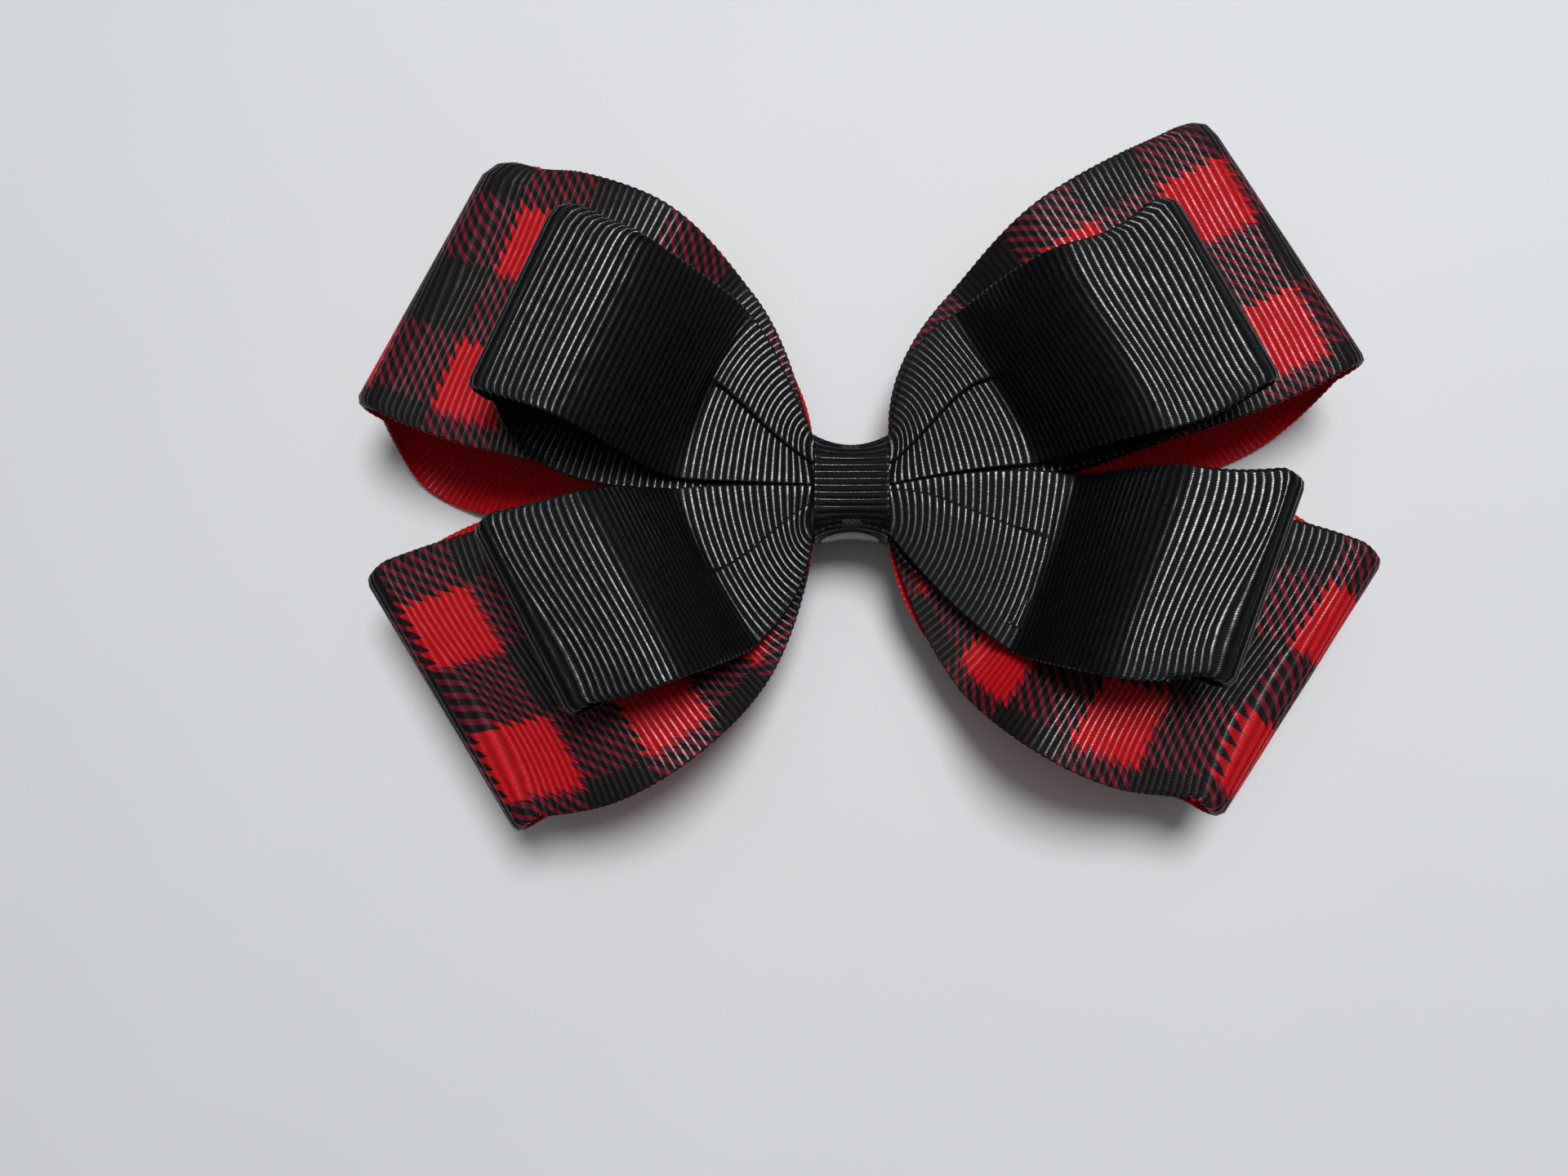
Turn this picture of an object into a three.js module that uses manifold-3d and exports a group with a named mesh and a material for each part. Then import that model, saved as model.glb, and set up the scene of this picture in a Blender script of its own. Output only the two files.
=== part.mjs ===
// Hair bow: two stacked layers of grosgrain ribbon loops on an alligator clip.
// Each layer is two lengths of ribbon, one above the seam and one below it, and each length makes one left
// loop and one right loop, which meet under the wrap. Thread ties each layer at its waist, hot glue joins
// the layers to each other and to the clip, and a narrow ribbon wraps the waist with the clip's upper arm.
// Millimetres. +X runs to the right loops, +Y to the upper loops, +Z out of the bow's face.

import * as THREE from 'three';
import { mergeVertices } from 'three/addons/utils/BufferGeometryUtils.js';
import Module from 'manifold-3d';

const wasm = await Module();
wasm.setup();

// ---- driving dimensions ----
const PLAID_WIDTH = 38.1; // 1 1/2 inch ribbon
const BLACK_WIDTH = 25.4; // 1 inch ribbon
const WRAP_WIDTH = 9.5; // 3/8 inch ribbon
const RIBBON_THICKNESS = 0.4;
const THREAD_THICKNESS = 0.4;
const THREAD_TIE_WIDTH = 2.6;
const GATHER_HEIGHT = 5.2; // how tall each loop is where it is gathered at the waist
const SEAM_GAP = 0.6; // between the upper loops and the lower loops
const CLEARANCE = 0.3; // between pieces that touch
const BACK_OVERLAP = 12; // how far the loops' back ends lie over each other behind the waist
const WAIST_HALF_LENGTH = 5; // the straight stretch of every loop under the wrap
const THREAD_CORNER = 0.3;
const WRAP_CORNER = 1.5;

const CLIP_LENGTH = 48;
const CLIP_WIDTH = 8;
const CLIP_SHEET = 0.6;
const CLIP_BED_HEIGHT = 8; // top face of the upper arm above the table
const CLIP_TIP_GAP = 0.3;
const TIP_NOTCH_REACH = 1;
const PIVOT_X = -9;
const PIVOT_Z = 4.2;
const PIN_RADIUS = 0.75;
const PIN_HOLE_GAP = 0.1;
const PIN_HEAD = { over: 0.4, thickness: 0.7 };
const EAR_LENGTH = 6;
const EAR_SHEET = 0.5;
const EAR_RIM = 1.6; // above the pivot on the lower arm
const EAR_FOOT = 0.8; // above the table on the lower arm
const PAD_LENGTH = 11.5; // flat thumb pad at the back of the lower arm
const TOOTH_COUNT = 5;
const TOOTH_HEIGHT = 1.2;
const SPRING_WIRE = 0.6;
const SPRING_TURNS = 5;
const SPRING_COIL_LENGTH = 4.4;
const SPRING_LEG_SETBACK = 2.5; // from the end of the thumb pad

const GLUE_LENGTH = 3.4;
const GLUE_INSET = 1; // from the edge of the gathered ribbon
const WRAP_GLUE = { length: 8, reach: 1.3, height: 3 };

// Each loop: reach is from the waist's centre to the middle of its fold, bearing is that line's angle
// to the X axis and square is the angle that the ribbon itself lies at where it folds.
const PLAID_LOOPS = {
  upper: {
    left: { reach: 63.6, bearing: 26.5, square: 26 },
    right: { reach: 64.9, bearing: 30.1, square: 29 },
  },
  lower: {
    left: { reach: 59.2, bearing: 28.4, square: 33.5 },
    right: { reach: 60.9, bearing: 25, square: 34 },
  },
};
const BLACK_LOOPS = {
  upper: {
    left: { reach: 46.1, bearing: 26.8, square: 23 },
    right: { reach: 48.8, bearing: 25.3, square: 26.4 },
  },
  lower: {
    left: { reach: 43.3, bearing: 26.2, square: 29 },
    right: { reach: 49.3, bearing: 17.6, square: 21.5 },
  },
};

// How a layer's loops stand in height, and how its ribbon edges leave the waist and reach the fold.
// crest is the height that a layer is drawn towards between the waist and its fold, and hold is the
// share of the way out over which it stays level.
const PLAID_SHAPE = {
  width: PLAID_WIDTH,
  foldHeight: 12.5,
  foldRadius: 3.4,
  top: { crest: 25, hold: 0.2 },
  bottom: { crest: -10.8, hold: 0.36 },
  innerLead: 18,
  outerLead: 17,
  run: 20,
};
const BLACK_SHAPE = {
  width: BLACK_WIDTH,
  foldHeight: 26,
  foldRadius: 3,
  top: { crest: 34, hold: 0.25 },
  bottom: { crest: 16, hold: 0.2 },
  innerLead: 14,
  outerLead: 11,
  run: 15,
};
const OUTER_LEAD_ANGLE = 78; // a ribbon's outer edge leaves the waist almost at right angles to X

const STEPS_PER_LAYER = 26;
const STEPS_PER_FOLD = 10;

// ---- heights of the stack at the waist, from the clip upwards ----
const PITCH = RIBBON_THICKNESS + CLEARANCE;
const THREAD_SLOT = THREAD_THICKNESS + 2 * CLEARANCE;
const plaidBack = CLIP_BED_HEIGHT + THREAD_SLOT + RIBBON_THICKNESS / 2;
const plaidFront = plaidBack + 2 * PITCH;
const plaidTop = plaidFront + RIBBON_THICKNESS / 2;
const blackBack = plaidTop + 2 * THREAD_SLOT - CLEARANCE + RIBBON_THICKNESS / 2;
const blackFront = blackBack + 2 * PITCH;
const blackTop = blackFront + RIBBON_THICKNESS / 2;
const gatherHalf = SEAM_GAP / 2 + GATHER_HEIGHT;
const threadHalf = gatherHalf + CLEARANCE;
const wrapInnerHalf = threadHalf + THREAD_THICKNESS + CLEARANCE;
const wrapInnerTop = blackTop + THREAD_SLOT;
const wrapInnerBottom = CLIP_BED_HEIGHT - CLIP_SHEET - CLEARANCE;

// ---- materials ----
function material(color, roughness, metalness = 0) {
  return new THREE.MeshStandardMaterial({ color, roughness, metalness });
}
const plaidRibbon = material(0xb01820, 0.85);
const blackRibbon = material(0x14181c, 0.7);
const thread = material(0x202020, 0.9);
const glue = material(0xd8d6cc, 0.35);
const steel = material(0xb8bcc0, 0.3, 1);

// ---- solids ----
function toSolid(geometry) {
  const bare = geometry.clone();
  bare.deleteAttribute('normal');
  bare.deleteAttribute('uv');
  const merged = mergeVertices(bare, 1e-5);
  return new wasm.Manifold(
    new wasm.Mesh({
      numProp: 3,
      vertProperties: new Float32Array(merged.attributes.position.array),
      triVerts: new Uint32Array(merged.index.array),
    }),
  );
}

function toGeometry(solid) {
  const mesh = solid.getMesh();
  const geometry = new THREE.BufferGeometry();
  geometry.setAttribute('position', new THREE.BufferAttribute(mesh.vertProperties, 3));
  geometry.setIndex(new THREE.BufferAttribute(mesh.triVerts, 1));
  geometry.computeVertexNormals();
  return geometry;
}

function join(...geometries) {
  return toGeometry(geometries.map(toSolid).reduce((whole, piece) => whole.add(piece)));
}

function cut(geometry, ...tools) {
  return toGeometry(tools.map(toSolid).reduce((whole, tool) => whole.subtract(tool), toSolid(geometry)));
}

function box(x0, x1, y0, y1, z0, z1) {
  const geometry = new THREE.BoxGeometry(x1 - x0, y1 - y0, z1 - z0);
  return geometry.translate((x0 + x1) / 2, (y0 + y1) / 2, (z0 + z1) / 2);
}

// A cylinder along Y.
function crossBar(x, z, radius, y0, y1) {
  const geometry = new THREE.CylinderGeometry(radius, radius, y1 - y0, 24);
  return geometry.translate(x, (y0 + y1) / 2, z);
}

// An outline in the XZ plane, extruded along Y.
function sidePlate(outline, y0, y1) {
  const shape = new THREE.Shape(outline.map(([x, z]) => new THREE.Vector2(x, z)));
  const geometry = new THREE.ExtrudeGeometry(shape, { depth: y1 - y0, bevelEnabled: false });
  return geometry.rotateX(Math.PI / 2).translate(0, y1, 0);
}

function roundedRectangle(halfWidth, bottom, top, radius) {
  const path = new THREE.Path();
  path.absarc(halfWidth - radius, top - radius, radius, 0, Math.PI / 2);
  path.absarc(-halfWidth + radius, top - radius, radius, Math.PI / 2, Math.PI);
  path.absarc(-halfWidth + radius, bottom + radius, radius, Math.PI, 1.5 * Math.PI);
  path.absarc(halfWidth - radius, bottom + radius, radius, 1.5 * Math.PI, 2 * Math.PI);
  path.closePath();
  return path;
}

// A band wound round the waist: a rounded ring in the YZ plane, extruded along X.
function waistBand(innerHalf, innerBottom, innerTop, thickness, width, radius) {
  const outer = roundedRectangle(
    innerHalf + thickness,
    innerBottom - thickness,
    innerTop + thickness,
    radius + thickness,
  );
  const shape = new THREE.Shape(outer.getPoints(6));
  shape.holes.push(roundedRectangle(innerHalf, innerBottom, innerTop, radius));
  const geometry = new THREE.ExtrudeGeometry(shape, { depth: width, bevelEnabled: false, curveSegments: 6 });
  // The outline's axes become Y and Z.
  const turn = new THREE.Matrix4().makeBasis(
    new THREE.Vector3(0, 1, 0),
    new THREE.Vector3(0, 0, 1),
    new THREE.Vector3(1, 0, 0),
  );
  return geometry.applyMatrix4(turn).translate(-width / 2, 0, 0);
}

// ---- ribbon loops ----
// A station is one line straight across the ribbon: its inner end is on the edge near the seam.
function station(inner, outer) {
  return { inner, outer };
}

function planDirection(degrees) {
  const angle = THREE.MathUtils.degToRad(degrees);
  return new THREE.Vector3(Math.cos(angle), Math.sin(angle), 0);
}

// The frame of one fold: its middle, the way the ribbon points there and the way across it.
function foldFrame(loop, side, flip, shape) {
  const outward = planDirection(loop.square).multiply(new THREE.Vector3(side, flip, 1));
  const across = new THREE.Vector3(-outward.y, outward.x, 0).multiplyScalar(side * flip);
  const middle = planDirection(loop.bearing).multiply(new THREE.Vector3(side, flip, 1));
  middle.multiplyScalar(loop.reach).addScaledVector(outward, -shape.foldRadius);
  middle.z = shape.foldHeight;
  return { outward, across, middle };
}

function foldStations(frame, shape) {
  const stations = [];
  for (let i = 1; i < STEPS_PER_FOLD; i++) {
    const angle = (Math.PI * i) / STEPS_PER_FOLD;
    const centre = frame.middle.clone().addScaledVector(frame.outward, shape.foldRadius * Math.sin(angle));
    centre.z -= shape.foldRadius * Math.cos(angle);
    const half = frame.across.clone().multiplyScalar(shape.width / 2);
    stations.push(station(centre.clone().sub(half), centre.clone().add(half)));
  }
  return stations;
}

// One layer of a loop, from the waist out to the fold's edge.
function layerStations(frame, side, flip, shape, profile, waistZ, endZ) {
  const half = frame.across.clone().multiplyScalar(shape.width / 2);
  const rails = [
    { y: SEAM_GAP / 2, lead: shape.innerLead, angle: 0, sign: -1 },
    { y: gatherHalf, lead: shape.outerLead, angle: OUTER_LEAD_ANGLE, sign: 1 },
  ].map(({ y, lead, angle, sign }) => {
    const start = new THREE.Vector3(side * WAIST_HALF_LENGTH, flip * y, waistZ);
    const leave = planDirection(angle).multiply(new THREE.Vector3(side, flip, 1));
    const end = frame.middle.clone().addScaledVector(half, sign);
    const first = start.clone().addScaledVector(leave, lead);
    const second = end.clone().addScaledVector(frame.outward, -shape.run);
    return new THREE.CubicBezierCurve3(start, first, second, end);
  });
  const heights = new THREE.CubicBezierCurve(
    new THREE.Vector2(0, waistZ),
    new THREE.Vector2(0, waistZ),
    new THREE.Vector2(0, profile.crest),
    new THREE.Vector2(0, endZ),
  );
  const stations = [];
  for (let i = 0; i <= STEPS_PER_LAYER; i++) {
    const t = i / STEPS_PER_LAYER;
    const [inner, outer] = rails.map((rail) => rail.getPoint(t));
    inner.z = heights.getPoint(Math.max(0, (t - profile.hold) / (1 - profile.hold))).y;
    outer.z = inner.z;
    stations.push(station(inner, outer));
  }
  return stations;
}

function waistStation(x, flip, z) {
  return station(new THREE.Vector3(x, (flip * SEAM_GAP) / 2, z), new THREE.Vector3(x, flip * gatherHalf, z));
}

// A loop as stations, from its end behind the waist, out, round the fold and back to the waist's middle.
function loopStations(loop, side, flip, shape, backZ, frontZ) {
  const frame = foldFrame(loop, side, flip, shape);
  const foldTop = shape.foldHeight + shape.foldRadius;
  const foldBottom = shape.foldHeight - shape.foldRadius;
  return [
    waistStation((-side * BACK_OVERLAP) / 2, flip, backZ),
    ...layerStations(frame, side, flip, shape, shape.bottom, backZ, foldBottom),
    ...foldStations(frame, shape),
    ...layerStations(frame, side, flip, shape, shape.top, frontZ, foldTop).reverse(),
    waistStation((side * CLEARANCE) / 2, flip, frontZ),
  ];
}

function signedVolume(geometry) {
  const position = geometry.attributes.position;
  const [a, b, c] = [new THREE.Vector3(), new THREE.Vector3(), new THREE.Vector3()];
  let sum = 0;
  for (let i = 0; i < geometry.index.count; i += 3) {
    a.fromBufferAttribute(position, geometry.index.getX(i));
    b.fromBufferAttribute(position, geometry.index.getX(i + 1));
    c.fromBufferAttribute(position, geometry.index.getX(i + 2));
    sum += a.dot(b.cross(c));
  }
  return sum / 6;
}

// Bends a flat strip along the stations, with its thickness square to its faces.
function bentStrip(stations, thickness) {
  const last = stations.length - 1;
  const geometry = new THREE.BoxGeometry(1, 1, 1, last, 1, 1);
  const position = geometry.attributes.position;
  const middles = stations.map(({ inner, outer }) => inner.clone().lerp(outer, 0.5));
  const normals = stations.map(({ inner, outer }, i) => {
    const along = middles[Math.min(i + 1, last)].clone().sub(middles[Math.max(i - 1, 0)]);
    return along.cross(outer.clone().sub(inner)).normalize();
  });
  const point = new THREE.Vector3();
  for (let v = 0; v < position.count; v++) {
    const i = Math.round((position.getX(v) + 0.5) * last);
    point.lerpVectors(stations[i].inner, stations[i].outer, position.getY(v) + 0.5);
    point.addScaledVector(normals[i], position.getZ(v) * thickness);
    position.setXYZ(v, point.x, point.y, point.z);
  }
  if (signedVolume(geometry) < 0) geometry.index.array.reverse();
  return geometry;
}

// ---- clip ----
const clipBack = -CLIP_LENGTH / 2;
const clipFront = CLIP_LENGTH / 2;
const upperUnder = CLIP_BED_HEIGHT - CLIP_SHEET;
const upperEarInner = CLIP_WIDTH / 2 - EAR_SHEET;
const lowerHalfWidth = upperEarInner - CLEARANCE;
const tipRoot = clipFront - CLIP_SHEET;

// Notches cut from a turned edge leave its teeth.
function toothNotches(z0, z1) {
  const pitch = (2 * lowerHalfWidth) / (2 * TOOTH_COUNT - 1);
  const notches = [];
  for (let i = 0; i < TOOTH_COUNT - 1; i++) {
    const y = -lowerHalfWidth + pitch * (2 * i + 1);
    notches.push(box(tipRoot - TIP_NOTCH_REACH, clipFront + TIP_NOTCH_REACH, y, y + pitch, z0, z1));
  }
  return notches;
}

function ear(side, innerY, z0, z1) {
  const y0 = side > 0 ? innerY : -innerY - EAR_SHEET;
  return box(PIVOT_X - EAR_LENGTH / 2, PIVOT_X + EAR_LENGTH / 2, y0, y0 + EAR_SHEET, z0, z1);
}

const pinHole = crossBar(PIVOT_X, PIVOT_Z, PIN_RADIUS + PIN_HOLE_GAP, -CLIP_WIDTH, CLIP_WIDTH);

function upperArm() {
  const blade = box(clipBack, clipFront, -CLIP_WIDTH / 2, CLIP_WIDTH / 2, upperUnder, CLIP_BED_HEIGHT);
  const toothEdge = upperUnder - TOOTH_HEIGHT;
  const tip = box(tipRoot, clipFront, -lowerHalfWidth, lowerHalfWidth, toothEdge, CLIP_BED_HEIGHT);
  const earBottom = PIVOT_Z - EAR_LENGTH / 3;
  const body = join(
    blade,
    tip,
    ear(1, upperEarInner, earBottom, CLIP_BED_HEIGHT),
    ear(-1, upperEarInner, earBottom, CLIP_BED_HEIGHT),
  );
  return cut(body, pinHole, ...toothNotches(toothEdge - TOOTH_HEIGHT, upperUnder));
}

function lowerArm() {
  const kneeX = clipBack + PAD_LENGTH;
  const tipTop = upperUnder - TOOTH_HEIGHT - CLIP_TIP_GAP;
  const blade = sidePlate(
    [
      [clipBack, 0],
      [kneeX, 0],
      [clipFront, tipTop - CLIP_SHEET],
      [clipFront, tipTop],
      [kneeX, CLIP_SHEET],
      [clipBack, CLIP_SHEET],
    ],
    -lowerHalfWidth,
    lowerHalfWidth,
  );
  const earTop = PIVOT_Z + EAR_RIM;
  const earInner = lowerHalfWidth - EAR_SHEET;
  const body = join(blade, ear(1, earInner, EAR_FOOT, earTop), ear(-1, earInner, EAR_FOOT, earTop));
  return cut(body, pinHole);
}

function pivotPin() {
  const headInner = CLIP_WIDTH / 2 + PIN_HOLE_GAP;
  const headOuter = headInner + PIN_HEAD.thickness;
  const headRadius = PIN_RADIUS + PIN_HEAD.over;
  const profile = [
    [0, -headOuter],
    [headRadius, -headOuter],
    [headRadius, -headInner],
    [PIN_RADIUS, -headInner],
    [PIN_RADIUS, headInner],
    [headRadius, headInner],
    [headRadius, headOuter],
    [0, headOuter],
  ];
  const geometry = new THREE.LatheGeometry(profile.map(([r, y]) => new THREE.Vector2(r, y)), 24);
  return geometry.translate(PIVOT_X, 0, PIVOT_Z);
}

// A torsion spring: a leg under the upper arm, the coil round the pin, a leg over the lower arm.
function torsionSpring() {
  const coilRadius = PIN_RADIUS + CLEARANCE + SPRING_WIRE / 2;
  const legReach = PAD_LENGTH - SPRING_LEG_SETBACK;
  const stepsPerTurn = 12;
  const first = 1.5 * Math.PI;
  const sweep = 2 * Math.PI * SPRING_TURNS - Math.PI;
  const count = Math.round((sweep / (2 * Math.PI)) * stepsPerTurn);
  const upperLegZ = upperUnder - CLEARANCE / 2 - SPRING_WIRE / 2;
  const lowerLegZ = CLIP_SHEET + CLEARANCE / 2 + SPRING_WIRE / 2;
  const y0 = -SPRING_COIL_LENGTH / 2;
  const y1 = SPRING_COIL_LENGTH / 2;
  const points = [
    new THREE.Vector3(PIVOT_X - legReach, y0, lowerLegZ),
    new THREE.Vector3(PIVOT_X - legReach / 2, y0, (lowerLegZ + PIVOT_Z - coilRadius) / 2),
  ];
  for (let i = 0; i <= count; i++) {
    const angle = first + (sweep * i) / count;
    const x = PIVOT_X + coilRadius * Math.cos(angle);
    const z = PIVOT_Z + coilRadius * Math.sin(angle);
    points.push(new THREE.Vector3(x, y0 + ((y1 - y0) * i) / count, z));
  }
  points.push(new THREE.Vector3(PIVOT_X - legReach / 2, y1, (upperLegZ + PIVOT_Z + coilRadius) / 2));
  points.push(new THREE.Vector3(PIVOT_X - legReach, y1, upperLegZ));
  const section = new THREE.Shape().absarc(0, 0, SPRING_WIRE / 2, 0, 2 * Math.PI);
  return new THREE.ExtrudeGeometry(section, {
    extrudePath: new THREE.CatmullRomCurve3(points, false, 'centripetal'),
    steps: points.length * 3,
    curveSegments: 4,
    bevelEnabled: false,
  });
}

// ---- glue ----
// Two dabs, left and right of a thread tie.
function glueDab(side, halfWidth, z0, z1) {
  const middle = side * (THREAD_TIE_WIDTH / 2 + CLEARANCE + GLUE_LENGTH / 2);
  return box(middle - GLUE_LENGTH / 2, middle + GLUE_LENGTH / 2, -halfWidth, halfWidth, z0, z1);
}

function wrapGlueBead() {
  const near = wrapInnerHalf + RIBBON_THICKNESS + CLEARANCE;
  const middle = (plaidTop + blackBack) / 2;
  const radius = WRAP_GLUE.height / 2;
  const bead = new THREE.CylinderGeometry(radius, radius, WRAP_GLUE.length, 16);
  bead.scale(1, 1, WRAP_GLUE.reach / radius).rotateZ(Math.PI / 2).rotateX(Math.PI / 2);
  bead.translate(0, -near, middle);
  return cut(bead, box(-WRAP_GLUE.length, WRAP_GLUE.length, -near, 0, 0, 2 * middle));
}

// ---- assembly ----
const bow = new THREE.Group();
function add(name, geometry, look) {
  const mesh = new THREE.Mesh(geometry, look);
  mesh.name = name;
  bow.add(mesh);
}

const flips = { upper: 1, lower: -1 };
const sides = { left: -1, right: 1 };
for (const [part, flip] of Object.entries(flips)) {
  for (const [name, side] of Object.entries(sides)) {
    const lap = side > 0 ? PITCH : 0;
    const plaid = PLAID_LOOPS[part][name];
    const black = BLACK_LOOPS[part][name];
    const plaidLine = loopStations(plaid, side, flip, PLAID_SHAPE, plaidBack + lap, plaidFront);
    const blackLine = loopStations(black, side, flip, BLACK_SHAPE, blackBack + lap, blackFront);
    add(`plaid_${part}_${name}_loop`, bentStrip(plaidLine, RIBBON_THICKNESS), plaidRibbon);
    add(`black_${part}_${name}_loop`, bentStrip(blackLine, RIBBON_THICKNESS), blackRibbon);
  }
}

function threadTie(stackBottom, stackTop) {
  const bottom = stackBottom - CLEARANCE;
  const top = stackTop + CLEARANCE;
  return waistBand(threadHalf, bottom, top, THREAD_THICKNESS, THREAD_TIE_WIDTH, THREAD_CORNER);
}
add('plaid_thread_tie', threadTie(plaidBack - RIBBON_THICKNESS / 2, plaidTop), thread);
add('black_thread_tie', threadTie(blackBack - RIBBON_THICKNESS / 2, blackTop), thread);
add(
  'center_wrap',
  waistBand(wrapInnerHalf, wrapInnerBottom, wrapInnerTop, RIBBON_THICKNESS, WRAP_WIDTH, WRAP_CORNER),
  blackRibbon,
);
add('wrap_glue_bead', wrapGlueBead(), glue);
for (const [name, side] of Object.entries(sides)) {
  const clipGlueTop = plaidBack - RIBBON_THICKNESS / 2 - CLEARANCE;
  const layerGlueTop = blackBack - RIBBON_THICKNESS / 2 - CLEARANCE;
  add(`clip_glue_${name}`, glueDab(side, lowerHalfWidth, CLIP_BED_HEIGHT + CLEARANCE, clipGlueTop), glue);
  const layerGlueHalf = gatherHalf - GLUE_INSET;
  add(`layer_glue_${name}`, glueDab(side, layerGlueHalf, plaidTop + CLEARANCE, layerGlueTop), glue);
}
add('clip_upper_arm', upperArm(), steel);
add('clip_lower_arm', lowerArm(), steel);
add('clip_pin', pivotPin(), steel);
add('clip_spring', torsionSpring(), steel);

// The origin is the middle of the outline, at the surface that the bow lies on.
const bounds = new THREE.Box3().setFromObject(bow);
const middle = bounds.getCenter(new THREE.Vector3());
bow.position.set(-middle.x, -middle.y, -bounds.min.z);

export default bow;
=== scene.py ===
"""A layered grosgrain hair bow: plaid rings, black rings, a centre wrap and an alligator clip."""

import math

import bmesh
import bpy
import numpy as np
from bpy.props import FloatProperty, FloatVectorProperty, PointerProperty
from mathutils import Matrix, Vector


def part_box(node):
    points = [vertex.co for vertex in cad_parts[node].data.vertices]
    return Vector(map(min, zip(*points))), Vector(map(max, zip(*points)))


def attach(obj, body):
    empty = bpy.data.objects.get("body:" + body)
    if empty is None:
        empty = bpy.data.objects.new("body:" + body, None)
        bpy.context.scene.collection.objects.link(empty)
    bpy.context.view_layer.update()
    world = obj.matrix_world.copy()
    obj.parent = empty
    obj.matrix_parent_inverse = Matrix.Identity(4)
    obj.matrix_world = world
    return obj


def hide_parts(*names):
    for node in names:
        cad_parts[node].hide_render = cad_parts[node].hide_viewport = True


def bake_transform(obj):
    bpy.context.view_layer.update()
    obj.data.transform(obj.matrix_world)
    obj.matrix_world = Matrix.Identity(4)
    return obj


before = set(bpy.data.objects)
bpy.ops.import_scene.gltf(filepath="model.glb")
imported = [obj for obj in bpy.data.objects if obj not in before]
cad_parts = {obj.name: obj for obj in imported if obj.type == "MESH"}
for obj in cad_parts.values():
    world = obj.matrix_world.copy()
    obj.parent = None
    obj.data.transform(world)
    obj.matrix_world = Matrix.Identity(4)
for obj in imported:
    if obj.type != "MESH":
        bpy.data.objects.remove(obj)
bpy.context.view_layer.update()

bl_info = {
    "name": "Layered Hair Bow",
    "version": (1, 0, 0),
    "blender": (4, 5, 0),
    "location": "View3D > Sidebar > Hair Bow",
    "description": "Models a layered grosgrain hair bow on an alligator clip",
    "category": "Add Mesh",
}

MM = 0.001

# The most of a front layer's width that is tucked away at the waist, the share of its width between the
# edges below which tucking starts, the range that it grows over, and the stations that it's blurred over.
MOST_TUCKED = 0.42
TUCK_STARTS = 0.92
TUCK_RANGE = 0.7
TUCK_BLUR = 20

# The waist's middle, at the surface that the bow lies on.
WRAP_LOW, WRAP_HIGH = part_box("center_wrap")
WAIST = Vector(((WRAP_LOW[0] + WRAP_HIGH[0]) / 2, (WRAP_LOW[1] + WRAP_HIGH[1]) / 2, 0.0))
PIN_LOW, PIN_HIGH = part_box("clip_pin")
PIN_MIDDLE = (Vector(PIN_LOW) + Vector(PIN_HIGH)) / 2
SPRING_LOW, SPRING_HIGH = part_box("clip_spring")

# Ribbon shape, in millimetres and degrees. An edge leaves the waist at the lead angle, over the lead's
# length, and reaches the fold square to it, over the run's length, turned by the turn angle. The inner
# edge is the one near the seam. A top layer stays level as far as the first rise distance, measured square
# to the fold, and is at its crest from the second. A bottom layer stays level for the hold share of its
# way out, and is drawn towards its sag height after that.
PLAID_TOP = {
    "rise": (24, 40), "crest_inner": 18, "crest_outer": 19, "lead_inner": 18, "angle_inner": 0,
    "run_inner": 20, "lead_outer": 24, "angle_outer": 88, "run_outer": 22,
}
PLAID_BOTTOM = {
    "sag": -10.8, "hold": 0.36, "lead_inner": 24, "angle_inner": 0, "run_inner": 20,
    "lead_outer": 20, "angle_outer": 86, "run_outer": 17,
}
BLACK_TOP = {
    "rise": (20, 37), "crest_inner": 29.2, "crest_outer": 29.2, "lead_inner": 14, "angle_inner": 0,
    "run_inner": 15, "lead_outer": 13, "angle_outer": 86, "run_outer": 16,
}
BLACK_BOTTOM = {
    "sag": 13.5, "hold": 0.1, "lead_inner": 14, "angle_inner": 0, "run_inner": 15,
    "lead_outer": 9, "angle_outer": 72, "run_outer": 15,
}

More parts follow.
